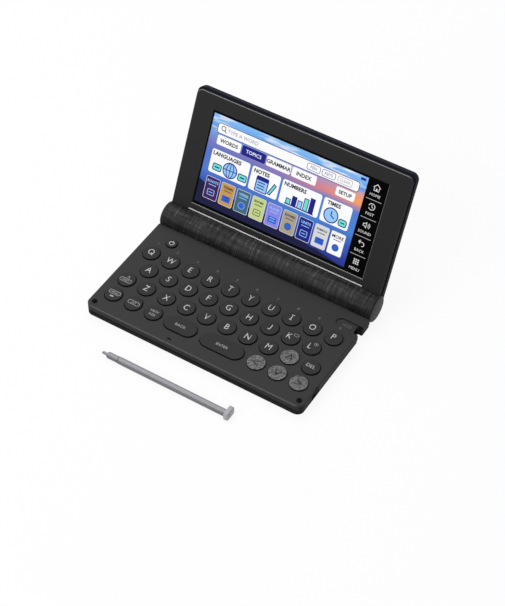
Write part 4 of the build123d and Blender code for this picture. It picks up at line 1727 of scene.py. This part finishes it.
# ------------------------------------------------------------------ stylus
@dataclass
class Stylus:
    """The stylus: a turned shaft with a flat head to grip."""

    palette: Palette
    radius: float = 2.24
    neck: float = 2.05
    groove: float = 1.6
    sides: int = 40
    head_length: float = 2.9
    head_spare: float = 0.7
    head_rise: float = 0.35
    head_round: float = 1.3
    head_bevel: float = 0.5

    NIB = ((-0.9, 0.05), (-0.85, 0.35), (-0.7, 0.62), (-0.4, 0.8), (0.1, 0.86), (2.7, 0.92), (2.75, 1.0),
           (2.8, 1.45), (2.95, 1.72))

    def shaft_profile(self, length: float) -> list[Point]:
        """Profile of the shaft, from the nib.

        Args:
            length: of the whole stylus.

        Returns:
            Station and radius of each ring.
        """
        neck = [(3.4, self.neck - 0.12), (4.0, self.neck), (10.4, self.neck)]
        groove = [(10.45, self.groove), (10.85, self.groove)]
        grip = [(10.9, self.radius - 0.12), (11.05, self.radius)]
        end = (length - self.head_length - 0.02, self.radius)
        return [*self.NIB, *neck, *groove, *grip, end]

    def build(self) -> None:
        """Builds the stylus over its node."""
        low, high = (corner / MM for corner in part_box("stylus"))
        middle, half = (low + high) / 2, (high - low) / 2
        rows = [(low.x + station, radius) for station, radius in self.shaft_profile(high.x - low.x)]
        made = turned(rows, middle, self.sides)
        shaft = finish_piece("stylus_shaft", made, self.palette.stylus, "stylus", True)
        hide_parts("stylus")
        half = Vector((self.head_length / 2, half.y + self.head_spare, half.z + self.head_rise))
        self.head(Vector((high.x - half.x, middle.y + self.head_spare, middle.z + self.head_rise)), half)
        LOG.info("stylus: shaft and head")

    @staticmethod
    def run(edge: bmesh.types.BMEdge) -> float:
        """How far an edge runs along X, in metres."""
        return abs(edge.verts[0].co.x - edge.verts[1].co.x)

    def head(self, middle: Vector, half: Vector) -> None:
        """Builds the flat head with rounded corners.

        Args:
            middle: its centre, in millimetres.
            half: half its size along each axis.
        """
        made = bmesh.new()
        bmesh.ops.create_cube(made, size=2.0)
        for vert in made.verts:
            vert.co = (middle + vert.co * half) * MM
        corners = [edge for edge in made.edges if self.run(edge) > MM]
        bmesh.ops.bevel(made, geom=corners, offset=self.head_round * MM, segments=6, affect="EDGES",
                        profile=0.5)
        rims = [edge for edge in made.edges if self.run(edge) < 1e-7]
        bmesh.ops.bevel(made, geom=rims, offset=self.head_bevel * MM, segments=4, affect="EDGES",
                        profile=0.5)
        finish_piece("stylus_head", made, self.palette.stylus_head, "stylus", True)


# ------------------------------------------------------------------ studio
def stand(azimuth: float, elevation: float) -> Vector:
    """Direction towards a camera or lamp.

    Args:
        azimuth: turn from the front to the right, in degrees.
        elevation: height over the horizon, in degrees.

    Returns:
        The direction, of length 1.
    """
    turn, rise = math.radians(azimuth), math.radians(elevation)
    return Vector((math.sin(turn) * math.cos(rise), -math.cos(turn) * math.cos(rise), math.sin(rise)))


@dataclass(frozen=True)
class Lamp:
    """A soft square lamp: where it stands, its distance and side in metres, and its watts."""

    name: str
    azimuth: float
    elevation: float
    distance: float
    size: float
    power: float

    def hang(self, aim: Vector) -> None:
        """Adds the lamp, turned to face a point.

        Args:
            aim: the point, in metres.
        """
        data = bpy.data.lights.new(self.name, "AREA")
        data.size, data.energy = self.size, self.power
        holder = bpy.data.objects.new(self.name, data)
        back = stand(self.azimuth, self.elevation)
        holder.location = aim + back * self.distance
        holder.rotation_mode = "QUATERNION"
        holder.rotation_quaternion = back.to_track_quat("Z", "Y")
        bpy.context.scene.collection.objects.link(holder)


@dataclass
class Studio:
    """Camera, pale floor and soft light.

    The aim and the camera's distance are in millimetres, and the floor's sizes in metres.
    """

    aim: tuple[float, float, float] = (14.66, -8.26, 20.0)
    distance: float = 991.4
    azimuth: float = 31.04
    elevation: float = 48.04
    roll: float = 1.0
    lens: float = 101.03
    sensor: float = 36.0
    ambient: float = 0.28
    floor_half: float = 3.0
    floor_drop: float = 0.0002
    floor_glow: float = 0.9
    lamps: tuple[Lamp, ...] = (Lamp("key_lamp", -25, 38, 1.3, 0.8, 8.0),
                               Lamp("top_lamp", -126, 64, 1.3, 1.2, 10.5))

    def camera(self) -> None:
        """Places the camera."""
        data = bpy.data.cameras.new("camera")
        data.lens, data.sensor_width = self.lens, self.sensor
        data.clip_start, data.clip_end = 0.01, 20.0
        turn = (Matrix.Rotation(math.radians(self.azimuth), 4, "Z")
                @ Matrix.Rotation(math.radians(90 - self.elevation), 4, "X"))
        holder = bpy.data.objects.new("camera", data)
        bpy.context.scene.collection.objects.link(holder)
        place = Matrix.Translation((Vector(self.aim) + turn @ Vector((0, 0, 1)) * self.distance) * MM)
        holder.matrix_world = place @ turn @ Matrix.Rotation(math.radians(self.roll), 4, "Z")
        bpy.context.scene.camera = holder

    def floor(self) -> None:
        """Lays a pale floor that shows white to the camera and keeps the shadow."""
        made = bmesh.new()
        bmesh.ops.create_grid(made, x_segments=2, y_segments=2, size=self.floor_half)
        mesh = bpy.data.meshes.new("floor")
        made.to_mesh(mesh)
        made.free()
        g = Graph(bpy.data.materials.new("floor_paper"))
        tint = g.mix(g.noise(g.place(), 0.8, 2.0), (0.92, 0.92, 0.92), (0.94, 0.94, 0.94))
        paper = g.node("ShaderNodeBsdfDiffuse", None, {"Color": tint})
        glow = g.node("ShaderNodeEmission", None, {"Color": (1, 1, 1, 1), "Strength": 1.0})
        shader = g.node("ShaderNodeMixShader", None, {0: self.seen(g) * self.floor_glow, 1: paper, 2: glow})
        g.node("ShaderNodeOutputMaterial", None, {"Surface": shader})
        mesh.materials.append(g.owner)
        floor = bpy.data.objects.new("floor", mesh)
        floor.location = (0, 0, -self.floor_drop)
        bpy.context.scene.collection.objects.link(floor)

    @staticmethod
    def seen(g: Graph) -> Sock:
        """1 where the camera sees a thing directly, in a gloss or through glass, 0 for its light.

        Args:
            g: the graph of the floor or the world.

        Returns:
            The mask.
        """
        camera, gloss, glass = (g.node("ShaderNodeLightPath", output=f"Is {kind} Ray")
                                for kind in ("Camera", "Glossy", "Transmission"))
        return g.node("ShaderNodeMath", {"operation": "MINIMUM"}, {0: camera + gloss + glass, 1: 1.0})

    def light(self) -> None:
        """Sets the world and the lamps."""
        g = Graph(bpy.data.worlds.new("studio"))
        white, soft = (g.node("ShaderNodeBackground", None, {"Color": (1, 1, 1, 1), "Strength": level})
                       for level in (1.0, self.ambient))
        sky = g.node("ShaderNodeMixShader", None, {0: self.seen(g), 1: soft, 2: white})
        g.node("ShaderNodeOutputWorld", None, {"Surface": sky})
        bpy.context.scene.world = g.owner
        for lamp in self.lamps:
            lamp.hang(Vector(self.aim) * MM)
        bpy.context.scene.view_settings.view_transform = "Standard"

    def build(self) -> None:
        """Builds the whole studio."""
        self.camera()
        self.floor()
        self.light()


def main() -> None:
    """Builds everything in order."""
    logging.basicConfig(level=logging.INFO, format="%(name)s: %(message)s")
    Studio().build()
    plane = LidPlane.from_frame()
    palette = Palette(plane)
    base = Base(palette)
    base.dress()
    base.stylus_mark()
    base.speaker_slot()
    keys = Keyboard(palette)
    keys.letters()
    keys.marked()
    keys.arrow_keys()
    keys.figures(base.deck)
    lid = Lid(palette, plane)
    lid.dress()
    lid.knuckle_ends()
    lid.groove()
    lid.glass()
    Page(lid).draw()
    lid.touch_strip()
    Stylus(palette).build()


if __name__ == "__main__":
    main()
